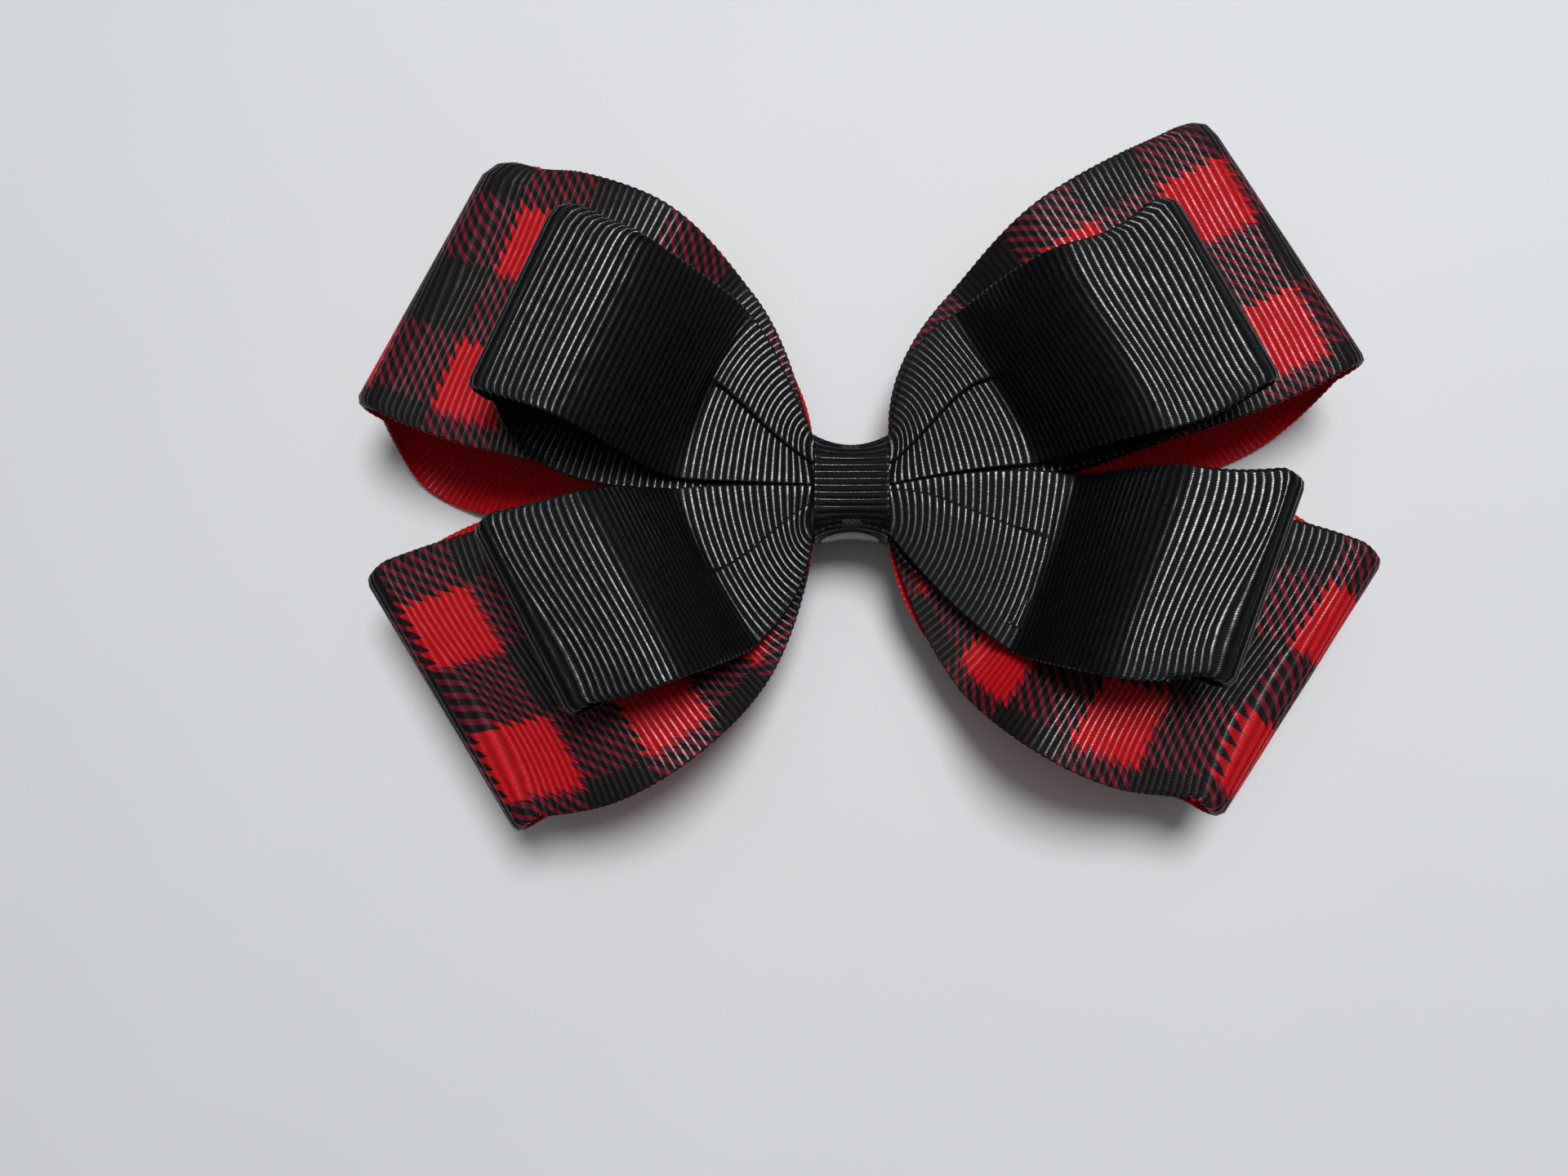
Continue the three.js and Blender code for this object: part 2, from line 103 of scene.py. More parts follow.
# Each loop: reach is from the waist to the middle of its fold, bearing is that line's angle to X, and
# square the angle that the ribbon lies at where it folds. The corners are the rounding of the fold's
# outer and inner ends. Pleats are (place across, size, up or down, how much slack before it starts).
# print is where the plaid's first red square starts or ends, measured in from the fold, and slant is the
# angle between the ribs and the fold.
PLAID_PLEATS = [(0.36, 1, 1, 0), (0.7, 1, 1, 0)]
PLAID_LOOPS = {
    ("upper", "left"): {
        "reach": 63.6, "bearing": 26.5, "square": 26, "fold_height": 12.5, "fold_radius": 5.2,
        "under_radius": 2.0, "corners": (3.6, 1.2), "print": 12.6, "slant": 6.5,
        "pleats": PLAID_PLEATS,
        "top": {"lead_outer": 15, "angle_outer": 74, "run_outer": 34, "turn_outer": -14},
        "bottom": {"lead_inner": 12, "angle_inner": -8, "run_inner": 18.8, "turn_inner": 64},
    },
    ("upper", "right"): {
        "reach": 64.9, "bearing": 30.1, "square": 29, "fold_height": 12.5, "fold_radius": 5.0,
        "under_radius": 2.2, "corners": (2.4, 0.6), "print": 16.4, "slant": 5,
        "pleats": PLAID_PLEATS,
        "top": {"lead_outer": 18, "angle_outer": 95, "run_outer": 20, "turn_outer": -2.5},
        "bottom": {"lead_inner": 12, "run_inner": 19.5, "turn_inner": 26},
    },
    ("lower", "left"): {
        "reach": 59.2, "bearing": 28.4, "square": 33.5, "fold_height": 12.5, "fold_radius": 3.2,
        "under_radius": 2.2, "corners": (0.8, 0.8), "print": 3.9, "slant": 2.5,
        "pleats": PLAID_PLEATS,
        "top": {
            "rise": (20, 38), "crest_inner": 16, "lead_outer": 27, "angle_outer": 84, "run_outer": 12,
            "turn_outer": -30, "lead_inner": 20, "turn_inner": -12,
        },
        "bottom": {"lead_inner": 14, "angle_inner": -3, "run_inner": 14.6, "turn_inner": 62},
    },
    ("lower", "right"): {
        "reach": 60.9, "bearing": 25, "square": 34, "fold_height": 12.5, "fold_radius": 3.4,
        "under_radius": 2.2, "corners": (1.2, 0.6), "print": 6.3, "slant": 4,
        "pleats": PLAID_PLEATS,
        "top": {
            "rise": (25, 40), "crest_inner": 16, "lead_outer": 31, "angle_outer": 75, "run_outer": 11,
            "turn_outer": -28, "turn_inner": -12,
        },
        "bottom": {"lead_inner": 14, "run_inner": 19, "turn_inner": 55},
    },
}
BLACK_LOOPS = {
    ("upper", "left"): {
        "reach": 46.1, "bearing": 26.8, "square": 23, "fold_height": 26.5, "fold_radius": 2.7,
        "under_radius": 2.2, "corners": (2.2, 0.8), "pleats": [(0.58, 1, 1, 0)],
        "top": {
            "rise": (20, 38), "lead_outer": 28, "angle_outer": 67, "run_outer": 25, "turn_outer": 5,
            "lead_inner": 30, "angle_inner": 2.5, "run_inner": 28, "turn_inner": -6,
        },
        "bottom": {"sag": 14, "lead_inner": 12, "run_inner": 12, "turn_inner": 60},
    },
    ("upper", "right"): {
        "reach": 48.8, "bearing": 25.3, "square": 26.4, "fold_height": 26, "fold_radius": 2.7,
        "under_radius": 2.2, "corners": (1.6, 0.6), "pleats": [(0.56, 1, 1, 0)],
        "top": {
            "rise": (21.5, 35), "lead_outer": 26, "angle_outer": 82, "run_outer": 18, "turn_outer": 17,
            "lead_inner": 30, "angle_inner": 12, "run_inner": 18, "turn_inner": 9,
        },
        "bottom": {},
    },
    ("lower", "left"): {
        "reach": 43.3, "bearing": 26.2, "square": 29, "fold_height": 25, "fold_radius": 2.6,
        "under_radius": 2.2, "corners": (0.8, 0.8), "pleats": [(0.52, 1, 1, 0)],
        "top": {
            "rise": (19.5, 32), "crest_inner": 27.4, "crest_outer": 28.2, "lead_outer": 13,
            "angle_outer": 87, "run_outer": 12, "turn_outer": -20, "lead_inner": 28, "angle_inner": -1.5,
            "run_inner": 22, "turn_inner": -16,
        },
        "bottom": {},
    },
    ("lower", "right"): {
        "reach": 49.3, "bearing": 17.6, "square": 21.5, "fold_height": 26.5, "fold_radius": 2.8,
        "under_radius": 2.2, "corners": (1.0, 0.6), "pleats": [(0.36, 1, 1, 0)],
        "top": {
            "rise": (25.5, 38), "crest_inner": 29, "lead_outer": 25, "angle_outer": 52, "run_outer": 9,
            "turn_outer": -30, "lead_inner": 28, "angle_inner": -12, "run_inner": 16, "turn_inner": -27,
        },
        "bottom": {},
    },
}


# ---------------------------------------------------------------- settings


class HairBowRibbonSettings(bpy.types.PropertyGroup):
    """Sizes of the ribbons, in millimetres."""

    plaid_width: FloatProperty(
        name="Plaid width", description="Width of the plaid ribbon in mm", default=38.1
    )
    black_width: FloatProperty(
        name="Black width", description="Width of the black ribbon in mm", default=25.4
    )
    wrap_width: FloatProperty(name="Wrap width", description="Width of the wrap's ribbon in mm", default=9.5)
    thickness: FloatProperty(name="Thickness", description="Thickness of the ribbon in mm", default=0.3)
    rib_pitch: FloatProperty(name="Rib pitch", description="From one rib to the next in mm", default=0.95)
    rib_height: FloatProperty(name="Rib height", description="Height of a rib in mm", default=0.19)
    plaid_square: FloatProperty(
        name="Plaid square", description="Side of a printed square in mm", default=9.65
    )
    seam_gap: FloatProperty(name="Seam gap", description="Between upper and lower rings in mm", default=0.24)
    gather: FloatProperty(name="Gather", description="Height of a ring under the wrap in mm", default=5.0)
    flare: FloatProperty(name="Flare", description="Widening of a ring at the wrap's edge in mm", default=1.5)
    waist_half: FloatProperty(name="Waist half", description="Half the level waist in mm", default=5.0)


class HairBowColourSettings(bpy.types.PropertyGroup):
    """Colours of the ribbons, glue and clip."""

    black: FloatVectorProperty(
        name="Black", description="Black ribbon", subtype="COLOR", default=(0.0030, 0.0037, 0.0052)
    )
    print_black: FloatVectorProperty(
        name="Printed black", description="Black of the plaid print", subtype="COLOR",
        default=(0.009, 0.006, 0.006),
    )
    red: FloatVectorProperty(
        name="Red", description="Red of the plaid ribbon", subtype="COLOR", default=(0.62, 0.004, 0.008)
    )
    maroon: FloatVectorProperty(
        name="Maroon", description="Half-tone lines of the print", subtype="COLOR",
        default=(0.20, 0.008, 0.026),
    )
    glue: FloatVectorProperty(
        name="Glue", description="Set hot glue", subtype="COLOR", default=(0.75, 0.74, 0.70)
    )
    steel: FloatVectorProperty(
        name="Steel", description="Plated steel of the clip", subtype="COLOR", default=(0.62, 0.63, 0.65)
    )


class HairBowStageSettings(bpy.types.PropertyGroup):
    """Camera, floor and light."""

    camera_height: FloatProperty(
        name="Camera height", description="Lens above the surface", default=0.1609, unit="LENGTH"
    )
    floor_colour: FloatVectorProperty(
        name="Floor", description="Floor colour", subtype="COLOR", default=(0.79, 0.80, 0.81)
    )
    key_power: FloatProperty(
        name="Key power", description="Power of the key light", default=4.2, unit="POWER"
    )
    panel_power: FloatProperty(
        name="Panel power", description="Power of the wide light overhead", default=1.8, unit="POWER"
    )
    fill_strength: FloatProperty(name="Fill", description="Strength of the surrounding light", default=0.06)


def ribbon_settings():
    return bpy.context.scene.hair_bow_ribbon


def colours():
    return bpy.context.scene.hair_bow_colours


# ---------------------------------------------------------------- ribbon surface


def plan_direction(degrees, side, flip):
    angle = math.radians(degrees)
    return np.array([side * math.cos(angle), flip * math.sin(angle), 0.0])


def bezier(points, t):
    a, b, c, d = (np.asarray(p, float) for p in points)
    t = np.asarray(t, float)[:, None]
    return (1 - t) ** 3 * a + 3 * (1 - t) ** 2 * t * b + 3 * (1 - t) * t**2 * c + t**3 * d


def smooth_step(x):
    x = np.clip(x, 0, 1)
    return x * x * (3 - 2 * x)


class RibbonLayer:
    """What a stack level of the bow is made of: its width, its heights at the waist and its loops."""

    def __init__(self, width, back, front, top, bottom, loops):
        self.width = width
        self.back = back
        self.front = front
        self.top = top
        self.bottom = bottom
        self.loops = loops


def plaid_layer():
    return RibbonLayer(ribbon_settings().plaid_width, 9.2, 10.8, PLAID_TOP, PLAID_BOTTOM, PLAID_LOOPS)


def black_layer():
    return RibbonLayer(ribbon_settings().black_width, 12.3, 14.3, BLACK_TOP, BLACK_BOTTOM, BLACK_LOOPS)


def fold_frame(loop, side, flip):
    """The way out, the way across and the outermost middle of one fold."""
    outward = plan_direction(loop["square"], side, flip)
    across = np.array([-outward[1], outward[0], 0.0]) * side * flip
    tip = plan_direction(loop["bearing"], side, flip) * loop["reach"]
    tip[2] = loop["fold_height"]
    return outward, across, tip


def turned(vector, degrees):
    angle = math.radians(degrees)
    c, s = math.cos(angle), math.sin(angle)
    return np.array([vector[0] * c - vector[1] * s, vector[0] * s + vector[1] * c, vector[2]])


def even_steps(curve, count):
    """Points at even spacing along a polyline, and its length."""
    steps = np.linalg.norm(np.diff(curve, axis=0), axis=1)
    along = np.concatenate([[0], np.cumsum(steps)])
    wanted = np.linspace(0, along[-1], count)
    return np.stack([np.interp(wanted, along, curve[:, k]) for k in range(3)], axis=1), along[-1]


def layer_rails(layer, loop, side, flip, which, waist_z, end_z):
    """The two edges of one layer of a loop, from the waist out to the fold."""
    s = ribbon_settings()
    shape = dict(getattr(layer, which))
    shape.update(loop[which])
    outward, across, tip = fold_frame(loop, side, flip)
    fold_end = tip - outward * loop["fold_radius" if which == "top" else "under_radius"]
    t = np.linspace(0, 1, 400)
    rails = []
    for edge, sign, y in (("inner", -1, s.seam_gap / 2), ("outer", 1, s.seam_gap / 2 + s.gather + s.flare)):
        start = np.array([side * s.waist_half, flip * y, 0.0])
        end = fold_end + across * sign * layer.width / 2
        leave = plan_direction(shape["angle_" + edge], side, flip)
        arrive = turned(outward, shape.get("turn_" + edge, 0) * side * flip)
        points = [start, start + leave * shape["lead_" + edge], end - arrive * shape["run_" + edge], end]
        rail = bezier(points, t)
        if which == "top":
            heights = (waist_z, shape["crest_" + edge], end_z)
            rail[:, 2] = top_height(rail @ outward, shape["rise"], fold_end @ outward, heights)
        else:
            late = np.maximum(0, (t - shape["hold"]) / (1 - shape["hold"]))
            rail[:, 2] = bezier([[waist_z], [waist_z], [shape["sag"]], [end_z]], late)[:, 0]
        rails.append(rail)
    return rails


def top_height(out, rise, fold, heights):
    """A top layer's height by its distance out: level, a steep rise, and a crest that eases to the fold."""
    waist, crest, end = heights
    first, second = rise
    share = np.clip((out - first) / (second - first), 0, 1)
    up = smooth_step(share * (1.35 - 0.35 * share))
    ease = smooth_step((out - second) / (fold - second))
    return waist + (crest - waist) * up + (end - crest) * ease


def fold_rails(layer, loop, side, flip):
    """The two edges round the fold, from under it to over it, tighter below than above."""
    outward, across, tip = fold_frame(loop, side, flip)
    turns = []
    for radius, first in ((loop["under_radius"], 0.0), (loop["fold_radius"], math.pi / 2)):
        angle = np.linspace(first, first + math.pi / 2, 30)[:, None]
        up = np.array([0.0, 0.0, 1.0])
        turns.append(tip + radius * ((np.sin(angle) - 1) * outward - np.cos(angle) * up))
    arc = np.concatenate([turns[0], turns[1][1:]])
    half = across * layer.width / 2
    return [arc - half, arc + half]


def waist_rails(x0, x1, flip, z):
    """The edges under the wrap, which pinches the ring in."""
    s = ribbon_settings()
    x = np.linspace(x0, x1, 16)
    flare = s.flare * (x / s.waist_half) ** 2
    inner = np.full_like(x, s.seam_gap / 2)
    outer = s.seam_gap / 2 + s.gather + np.minimum(flare, s.flare)
    return [np.stack([x, flip * y, np.full_like(x, z)], axis=1) for y in (inner, outer)]


def ring_stretches(layer, part, flip, overlap=4.6, lap=0.45):
    """A ring's stretches in order, each (rails, side, whether it is at the back, the fold or the front)."""
    half = ribbon_settings().waist_half
    stretches = [(waist_rails(overlap, -half, flip, layer.back), "left", "back")]
    for name, side, back in (("left", -1, layer.back), ("right", 1, layer.back + lap)):
        loop = layer.loops[(part, name)]
        top_z = loop["fold_height"] + loop["fold_radius"]
        bottom_z = loop["fold_height"] - loop["under_radius"]
        top = layer_rails(layer, loop, side, flip, "top", layer.front, top_z)
        run = [
            (layer_rails(layer, loop, side, flip, "bottom", back, bottom_z), name, "back"),
            (fold_rails(layer, loop, side, flip), name, "fold"),
            ([rail[::-1] for rail in top], name, "front"),
        ]
        if name == "left":
            stretches += run
            stretches.append((waist_rails(-half, half, flip, layer.front), "right", "front"))
        else:
            stretches += [([r[::-1] for r in rails], name, where) for rails, name, where in reversed(run)]
    stretches.append((waist_rails(half, -overlap, flip, layer.back + lap), "right", "back"))
    return stretches


def sample_ring(layer, part, flip, pitch, per_rib):
    """Stations of the whole ring: its edges, place along, which loop each is on and whether it's in front."""
    inner, outer, along, sides, fronts = [], [], [], [], []
    folds = {}
    travelled = 0.0
    for rails, name, where in ring_stretches(layer, part, flip):
        length = (even_steps(rails[0], 2)[1] + even_steps(rails[1], 2)[1]) / 2
        count = max(3, int(round(length / pitch * per_rib)) + 1)
        first = 0 if not inner else 1
        inner.append(even_steps(rails[0], count)[0][first:])
        outer.append(even_steps(rails[1], count)[0][first:])
        along.append(travelled + np.linspace(0, length, count)[first:])
        sides += [name] * (count - first)
        fronts += [where == "front"] * (count - first)
        if where == "fold":
            under = layer.loops[(part, name)]["under_radius"] * math.pi / 2
            folds[name] = travelled + (under if name == "left" else length - under)
        travelled += length
    return np.concatenate(inner), np.concatenate(outer), np.concatenate(along), sides, fronts, folds


def rib_curves(inner, outer, samples=33):
    """Each rib's line in plan, meeting both edges square, as (stations, samples, 3)."""
    chord = outer - inner
    span = np.linalg.norm(chord, axis=1, keepdims=True)
    across = chord / span
    ends = []
    for rail in (inner, outer):
        tangent = np.gradient(rail, axis=0)
        tangent /= np.linalg.norm(tangent, axis=1, keepdims=True) + 1e-12
        square = across - tangent * np.sum(across * tangent, axis=1, keepdims=True)
        length = np.linalg.norm(square, axis=1, keepdims=True)
        square = np.where(length > 0.05, square / np.maximum(length, 1e-9), across)
        ends.append(square)
    kernel = np.hanning(13)
    kernel /= kernel.sum()
    for k, end in enumerate(ends):
        padded = np.pad(end, ((6, 6), (0, 0)), mode="edge")
        soft = np.stack([np.convolve(padded[:, c], kernel, mode="valid") for c in range(3)], axis=1)
        soft = 0.8 * soft + 0.2 * across
        ends[k] = soft / np.linalg.norm(soft, axis=1, keepdims=True)
    t = np.linspace(0, 1, samples)[None, :, None]
    a = inner[:, None, :]
    b = (inner + ends[0] * span / 3)[:, None, :]
    c = (outer - ends[1] * span / 3)[:, None, :]
    d = outer[:, None, :]
    return (1 - t) ** 3 * a + 3 * (1 - t) ** 2 * t * b + 3 * (1 - t) * t**2 * c + t**3 * d


class Pleats:
    """Knife pleats across a gathered ribbon. Each starts as a crease, and slack lays it further back."""

    turn = 1.1
    depth = 0.3

    def __init__(self, width, folds):
        self.width = width
        self.folds = folds
        self.v = np.linspace(0, width, 241)

    def backs(self, slack):
        """How far each pleat runs back under itself."""
        return [max(0.0, slack - late) * size * self.depth * self.width for _, size, _, late in self.folds]

    def angle(self, slack):
        angle = np.zeros_like(self.v)
        for (place, _, way, _), back in zip(self.folds, self.backs(slack)):
            centre = place * self.width
            rise = smooth_step((self.v - centre + back / 2) / self.turn + 0.5)
            drop = smooth_step((self.v - centre - back / 2) / self.turn + 0.5)
            angle += way * math.pi * (rise - drop)
        return angle

    def section(self, span):
        """Place across and height off the line for each place on the ribbon, with its edges span apart."""
        step = self.v[1]
        low, high = 0.0, 2.5 if span < self.width * 0.9995 else 0.0
        for _ in range(16):
            slack = (low + high) / 2
            cosines = np.cos(self.angle(slack))
            if np.sum(cosines[1:] + cosines[:-1]) * step / 2 > span:
                low = slack
            else:
                high = slack
        angle = self.angle(slack)
        y = np.concatenate([[0], np.cumsum((np.cos(angle[1:]) + np.cos(angle[:-1])) / 2 * step)])
        z = np.concatenate([[0], np.cumsum((np.sin(angle[1:]) + np.sin(angle[:-1])) / 2 * step)])
        z -= np.linspace(0, z[-1], len(z))
        return y * span / y[-1], z, slack

    def places(self, slack, flats, turns):
        """Places across for the vertices, close together where a pleat turns and at the selvedges."""
        near, far = 0.25, 1.1
        knots = [near, far, self.width - far, self.width - near]
        for fold, back in zip(self.folds, self.backs(slack)):
            centre = fold[0] * self.width
            inside = max(back - self.turn, self.turn / 4) / 2
            outside = (back + self.turn) / 2
            knots += [centre - outside, centre - inside, centre + inside, centre + outside]
        knots = np.clip(np.sort(knots), near, self.width - near)
        places = [np.array([0.0])]
        last = len(knots) - 2
        for k, (a, b) in enumerate(zip(knots[:-1], knots[1:])):
            count = 1 if k in (0, last) else turns if k % 2 == 0 else flats
            places.append(np.linspace(a, b, count, endpoint=False))
        places.append(np.array([knots[-1], self.width]))
        return np.concatenate(places)


def round_corner(distance, radius):
    """How far in a rounded corner lies, at a distance from the ribbon's edge."""
    inside = np.clip(radius - distance, 0, radius)
    return radius - np.sqrt(radius**2 - inside**2)


def round_corners(surface, along, places, sides, folds, layer, part, flip):
    """Draw in the ends of each fold, and the layers beside it."""
    for name, side in (("left", -1), ("right", 1)):
        loop = layer.loops[(part, name)]
        outward = fold_frame(loop, side, flip)[0]
        near = np.array([s == name for s in sides]) * smooth_step(1 - (np.abs(along - folds[name]) - 6) / 12)
        outer, inner = loop["corners"]
        draw = round_corner(layer.width - places, outer) + round_corner(places, inner)
        surface -= (draw * near[:, None])[:, :, None] * outward
    return surface


def slanted(surface, along, places, sides, folds, layer, part):
    """Slide each edge along the ribbon, so that its ribs cross the fold on a slant."""
    result = surface.copy()
    for name, side in (("left", -1), ("right", 1)):
        slant = math.tan(math.radians(layer.loops[(part, name)].get("slant", 0)))
        near = np.array([s == name for s in sides]) * smooth_step(1 - (np.abs(along - folds[name]) - 20) / 26)
        for j in range(surface.shape[1]):
            wanted = along + side * slant * (places[:, j] - layer.width / 2) * near
            for k in range(3):
                result[:, j, k] += np.interp(wanted, along, surface[:, j, k]) - surface[:, j, k]
    return result


def ring_surface(layer, part, flip, flats=6, turns=4, per_rib=4):
    """Vertex places of a ring as (stations, across, 3), its places along and across, and where each vertex
    lies on the print.
    """
    s = ribbon_settings()
    inner, outer, along, sides, fronts, folds = sample_ring(layer, part, flip, s.rib_pitch, per_rib)
    curves = rib_curves(inner, outer)
    forward = np.gradient((inner + outer) / 2, axis=0)
    pleats = {name: Pleats(layer.width, layer.loops[(part, name)]["pleats"]) for name in ("left", "right")}
    lengths = np.linalg.norm(np.diff(curves, axis=1), axis=2).sum(axis=1)
    tucked = MOST_TUCKED * smooth_step((TUCK_STARTS - lengths / layer.width) / TUCK_RANGE) * np.array(fronts)
    window = np.hanning(2 * TUCK_BLUR + 1)
    window /= window.sum()
    tucked = np.convolve(np.pad(tucked, TUCK_BLUR, mode="edge"), window, mode="valid")
    rows, places = [], []
    for i in range(len(along)):
        curve = curves[i]
        steps = np.linalg.norm(np.diff(curve, axis=0), axis=1)
        run = np.concatenate([[0], np.cumsum(steps)])
        target = layer.width * (1 - tucked[i])
        fold = pleats[sides[i]]
        y, z, slack = fold.section(target)
        at = fold.places(slack, flats, turns)
        ys = np.interp(at, fold.v, y) * run[-1] / y[-1]
        zs = np.interp(at, fold.v, z)
        base = np.stack([np.interp(ys, run, curve[:, k]) for k in range(3)], axis=1)
        side = np.gradient(curve, axis=0)
        local = np.stack([np.interp(ys, run, side[:, k]) for k in range(3)], axis=1)
        normal = np.cross(np.broadcast_to(forward[i], local.shape), local) * flip
        normal /= np.linalg.norm(normal, axis=1, keepdims=True)
        rows.append(base + normal * zs[:, None])
        places.append(at)
    places = np.array(places)
    surface = round_corners(np.array(rows), along, places, sides, folds, layer, part, flip)
    surface = slanted(surface, along, places, sides, folds, layer, part)
    return surface, along, places, print_places(layer, part, along, places, sides, folds)


def print_places(layer, part, along, places, sides, folds):
    """Where each vertex lies on the printed plaid, with the first red square at half a square."""
    square = ribbon_settings().plaid_square
    shift = {}
    for name, side in (("left", -1), ("right", 1)):
        start = layer.loops[(part, name)].get("print", 0)
        shift[name] = square / 2 - folds[name] + side * start
    x = along + np.array([shift[name] for name in sides])
    first_row = 3.0
    y = (places if part == "upper" else layer.width - places) - first_row + square / 2
    return np.broadcast_to(x[:, None], places.shape), y


def surface_normals(surface, flip):
    du = np.gradient(surface, axis=0)
    dv = np.gradient(surface, axis=1)
    normal = np.cross(du, dv) * flip
    return normal / (np.linalg.norm(normal, axis=2, keepdims=True) + 1e-12)


def rib_relief(along, places, width, pitch, height):
    """The ribs' height over the ribbon, and how far their looped ends stand out past the selvedge."""
    rib = np.abs(np.cos(math.pi * along / pitch))[:, None] * np.ones_like(places)
    edge = np.minimum(places, width - places)
    inside = smooth_step(edge / 0.9)
    relief = height * rib * (0.35 + 0.65 * inside)
    scallop = 0.16 * (rib - 0.4) * (edge < 0.1)
    return relief, scallop * np.where(places < width / 2, -1, 1)


# ---------------------------------------------------------------- meshes


def grid_mesh(name, surface, along, places, flip, maps):
    """A bmesh grid laid over the surface, with its place along and across the ribbon as its UV map."""
    rows, columns = surface.shape[:2]
    bm = bmesh.new()
    bmesh.ops.create_grid(bm, x_segments=rows - 1, y_segments=columns - 1, size=0.5)
    mesh = bpy.data.meshes.new(name)
    bm.to_mesh(mesh)
    bm.free()
    count = len(mesh.vertices)
    flat = np.empty(count * 3, np.float32)
    mesh.vertices.foreach_get("co", flat)
    flat = flat.reshape(-1, 3)
    i = np.rint((flat[:, 0] + 0.5) * (rows - 1)).astype(int)
    j = np.rint((flat[:, 1] + 0.5) * (columns - 1)).astype(int)
    points = surface[i, j] * MM + np.array(WAIST)
    mesh.vertices.foreach_set("co", points.astype(np.float32).ravel())
    corners = np.empty(len(mesh.loops), np.int32)
    mesh.loops.foreach_get("vertex_index", corners)
    along_grid = np.broadcast_to(along[:, None], places.shape)
    for label, x, y in (("ribbon", along_grid, places), *maps):
        uv = np.stack([x[i, j], y[i, j]], axis=1) * MM
        layer = mesh.uv_layers.new(name=label)
        layer.data.foreach_set("uv", uv[corners].astype(np.float32).ravel())
    mesh.polygons.foreach_set("use_smooth", np.ones(len(mesh.polygons), bool))
    if flip < 0:
        mesh.flip_normals()
    mesh.update()
    return mesh


def link(obj):
    bpy.context.scene.collection.objects.link(obj)
    return obj


def ribbon_piece(name, surface, along, places, width, flip, materials, maps=()):
    s = ribbon_settings()
    thickness = s.thickness
    relief, scallop = rib_relief(along, places, width, s.rib_pitch, s.rib_height)
    normals = surface_normals(surface, flip)
    across = np.gradient(surface, axis=1)
    across /= np.linalg.norm(across, axis=2, keepdims=True) + 1e-12
    surface = surface + normals * relief[:, :, None] + across * scallop[:, :, None]
    mesh = grid_mesh(name, surface, along, places, flip, maps)
    piece = link(bpy.data.objects.new(name, mesh))
    for material in materials:
        mesh.materials.append(material)
    skin = piece.modifiers.new("thickness", "SOLIDIFY")
    skin.thickness = thickness * MM
    skin.offset = -1
    skin.material_offset = 1
    skin.material_offset_rim = 1
    return piece


# ---------------------------------------------------------------- materials


class Nodes:
    """Short ways to add and join nodes in one tree."""

    def __init__(self, tree):
        self.tree = tree

    def add(self, kind, **values):
        node = self.tree.nodes.new(kind)
        for key, value in values.items():
            setattr(node, key, value)
        return node

    def put(self, target, value):
        if isinstance(value, bpy.types.NodeSocket):
            self.tree.links.new(value, target)
        else:
            target.default_value = value

    def maths(self, operation, a, b=None, clamp=False):
        node = self.add("ShaderNodeMath", operation=operation, use_clamp=clamp)
        self.put(node.inputs[0], a)
        if b is not None:
            self.put(node.inputs[1], b)
        return node.outputs[0]

    def mix(self, factor, a, b):
        node = self.add("ShaderNodeMix", data_type="RGBA")
        self.put(node.inputs[0], factor)
        self.put(node.inputs[6], a)
        self.put(node.inputs[7], b)
        return node.outputs[2]

    def noise(self, vector, scale, detail=2.0, roughness=0.5):
        node = self.add("ShaderNodeTexNoise")
        self.put(node.inputs["Vector"], vector)
        node.inputs["Scale"].default_value = scale
        node.inputs["Detail"].default_value = detail
        node.inputs["Roughness"].default_value = roughness
        return node.outputs["Fac"]

    def ramp(self, value, low, high, to_low=0.0, to_high=1.0):
        node = self.add("ShaderNodeMapRange", interpolation_type="SMOOTHSTEP")
        for socket, number in zip(node.inputs[:5], (value, low, high, to_low, to_high)):
            self.put(socket, number)
        return node.outputs[0]


def new_group(name, inputs, outputs):
    tree = bpy.data.node_groups.new(name, "ShaderNodeTree")
    for label, kind, default in inputs:
        socket = tree.interface.new_socket(name=label, in_out="INPUT", socket_type=kind)
        if default is not None:
            socket.default_value = default
    for label, kind in outputs:
        tree.interface.new_socket(name=label, in_out="OUTPUT", socket_type=kind)
    nodes = Nodes(tree)
    return tree, nodes, nodes.add("NodeGroupInput"), nodes.add("NodeGroupOutput")


def group_once(name, build):
    return bpy.data.node_groups.get(name) or build(name)


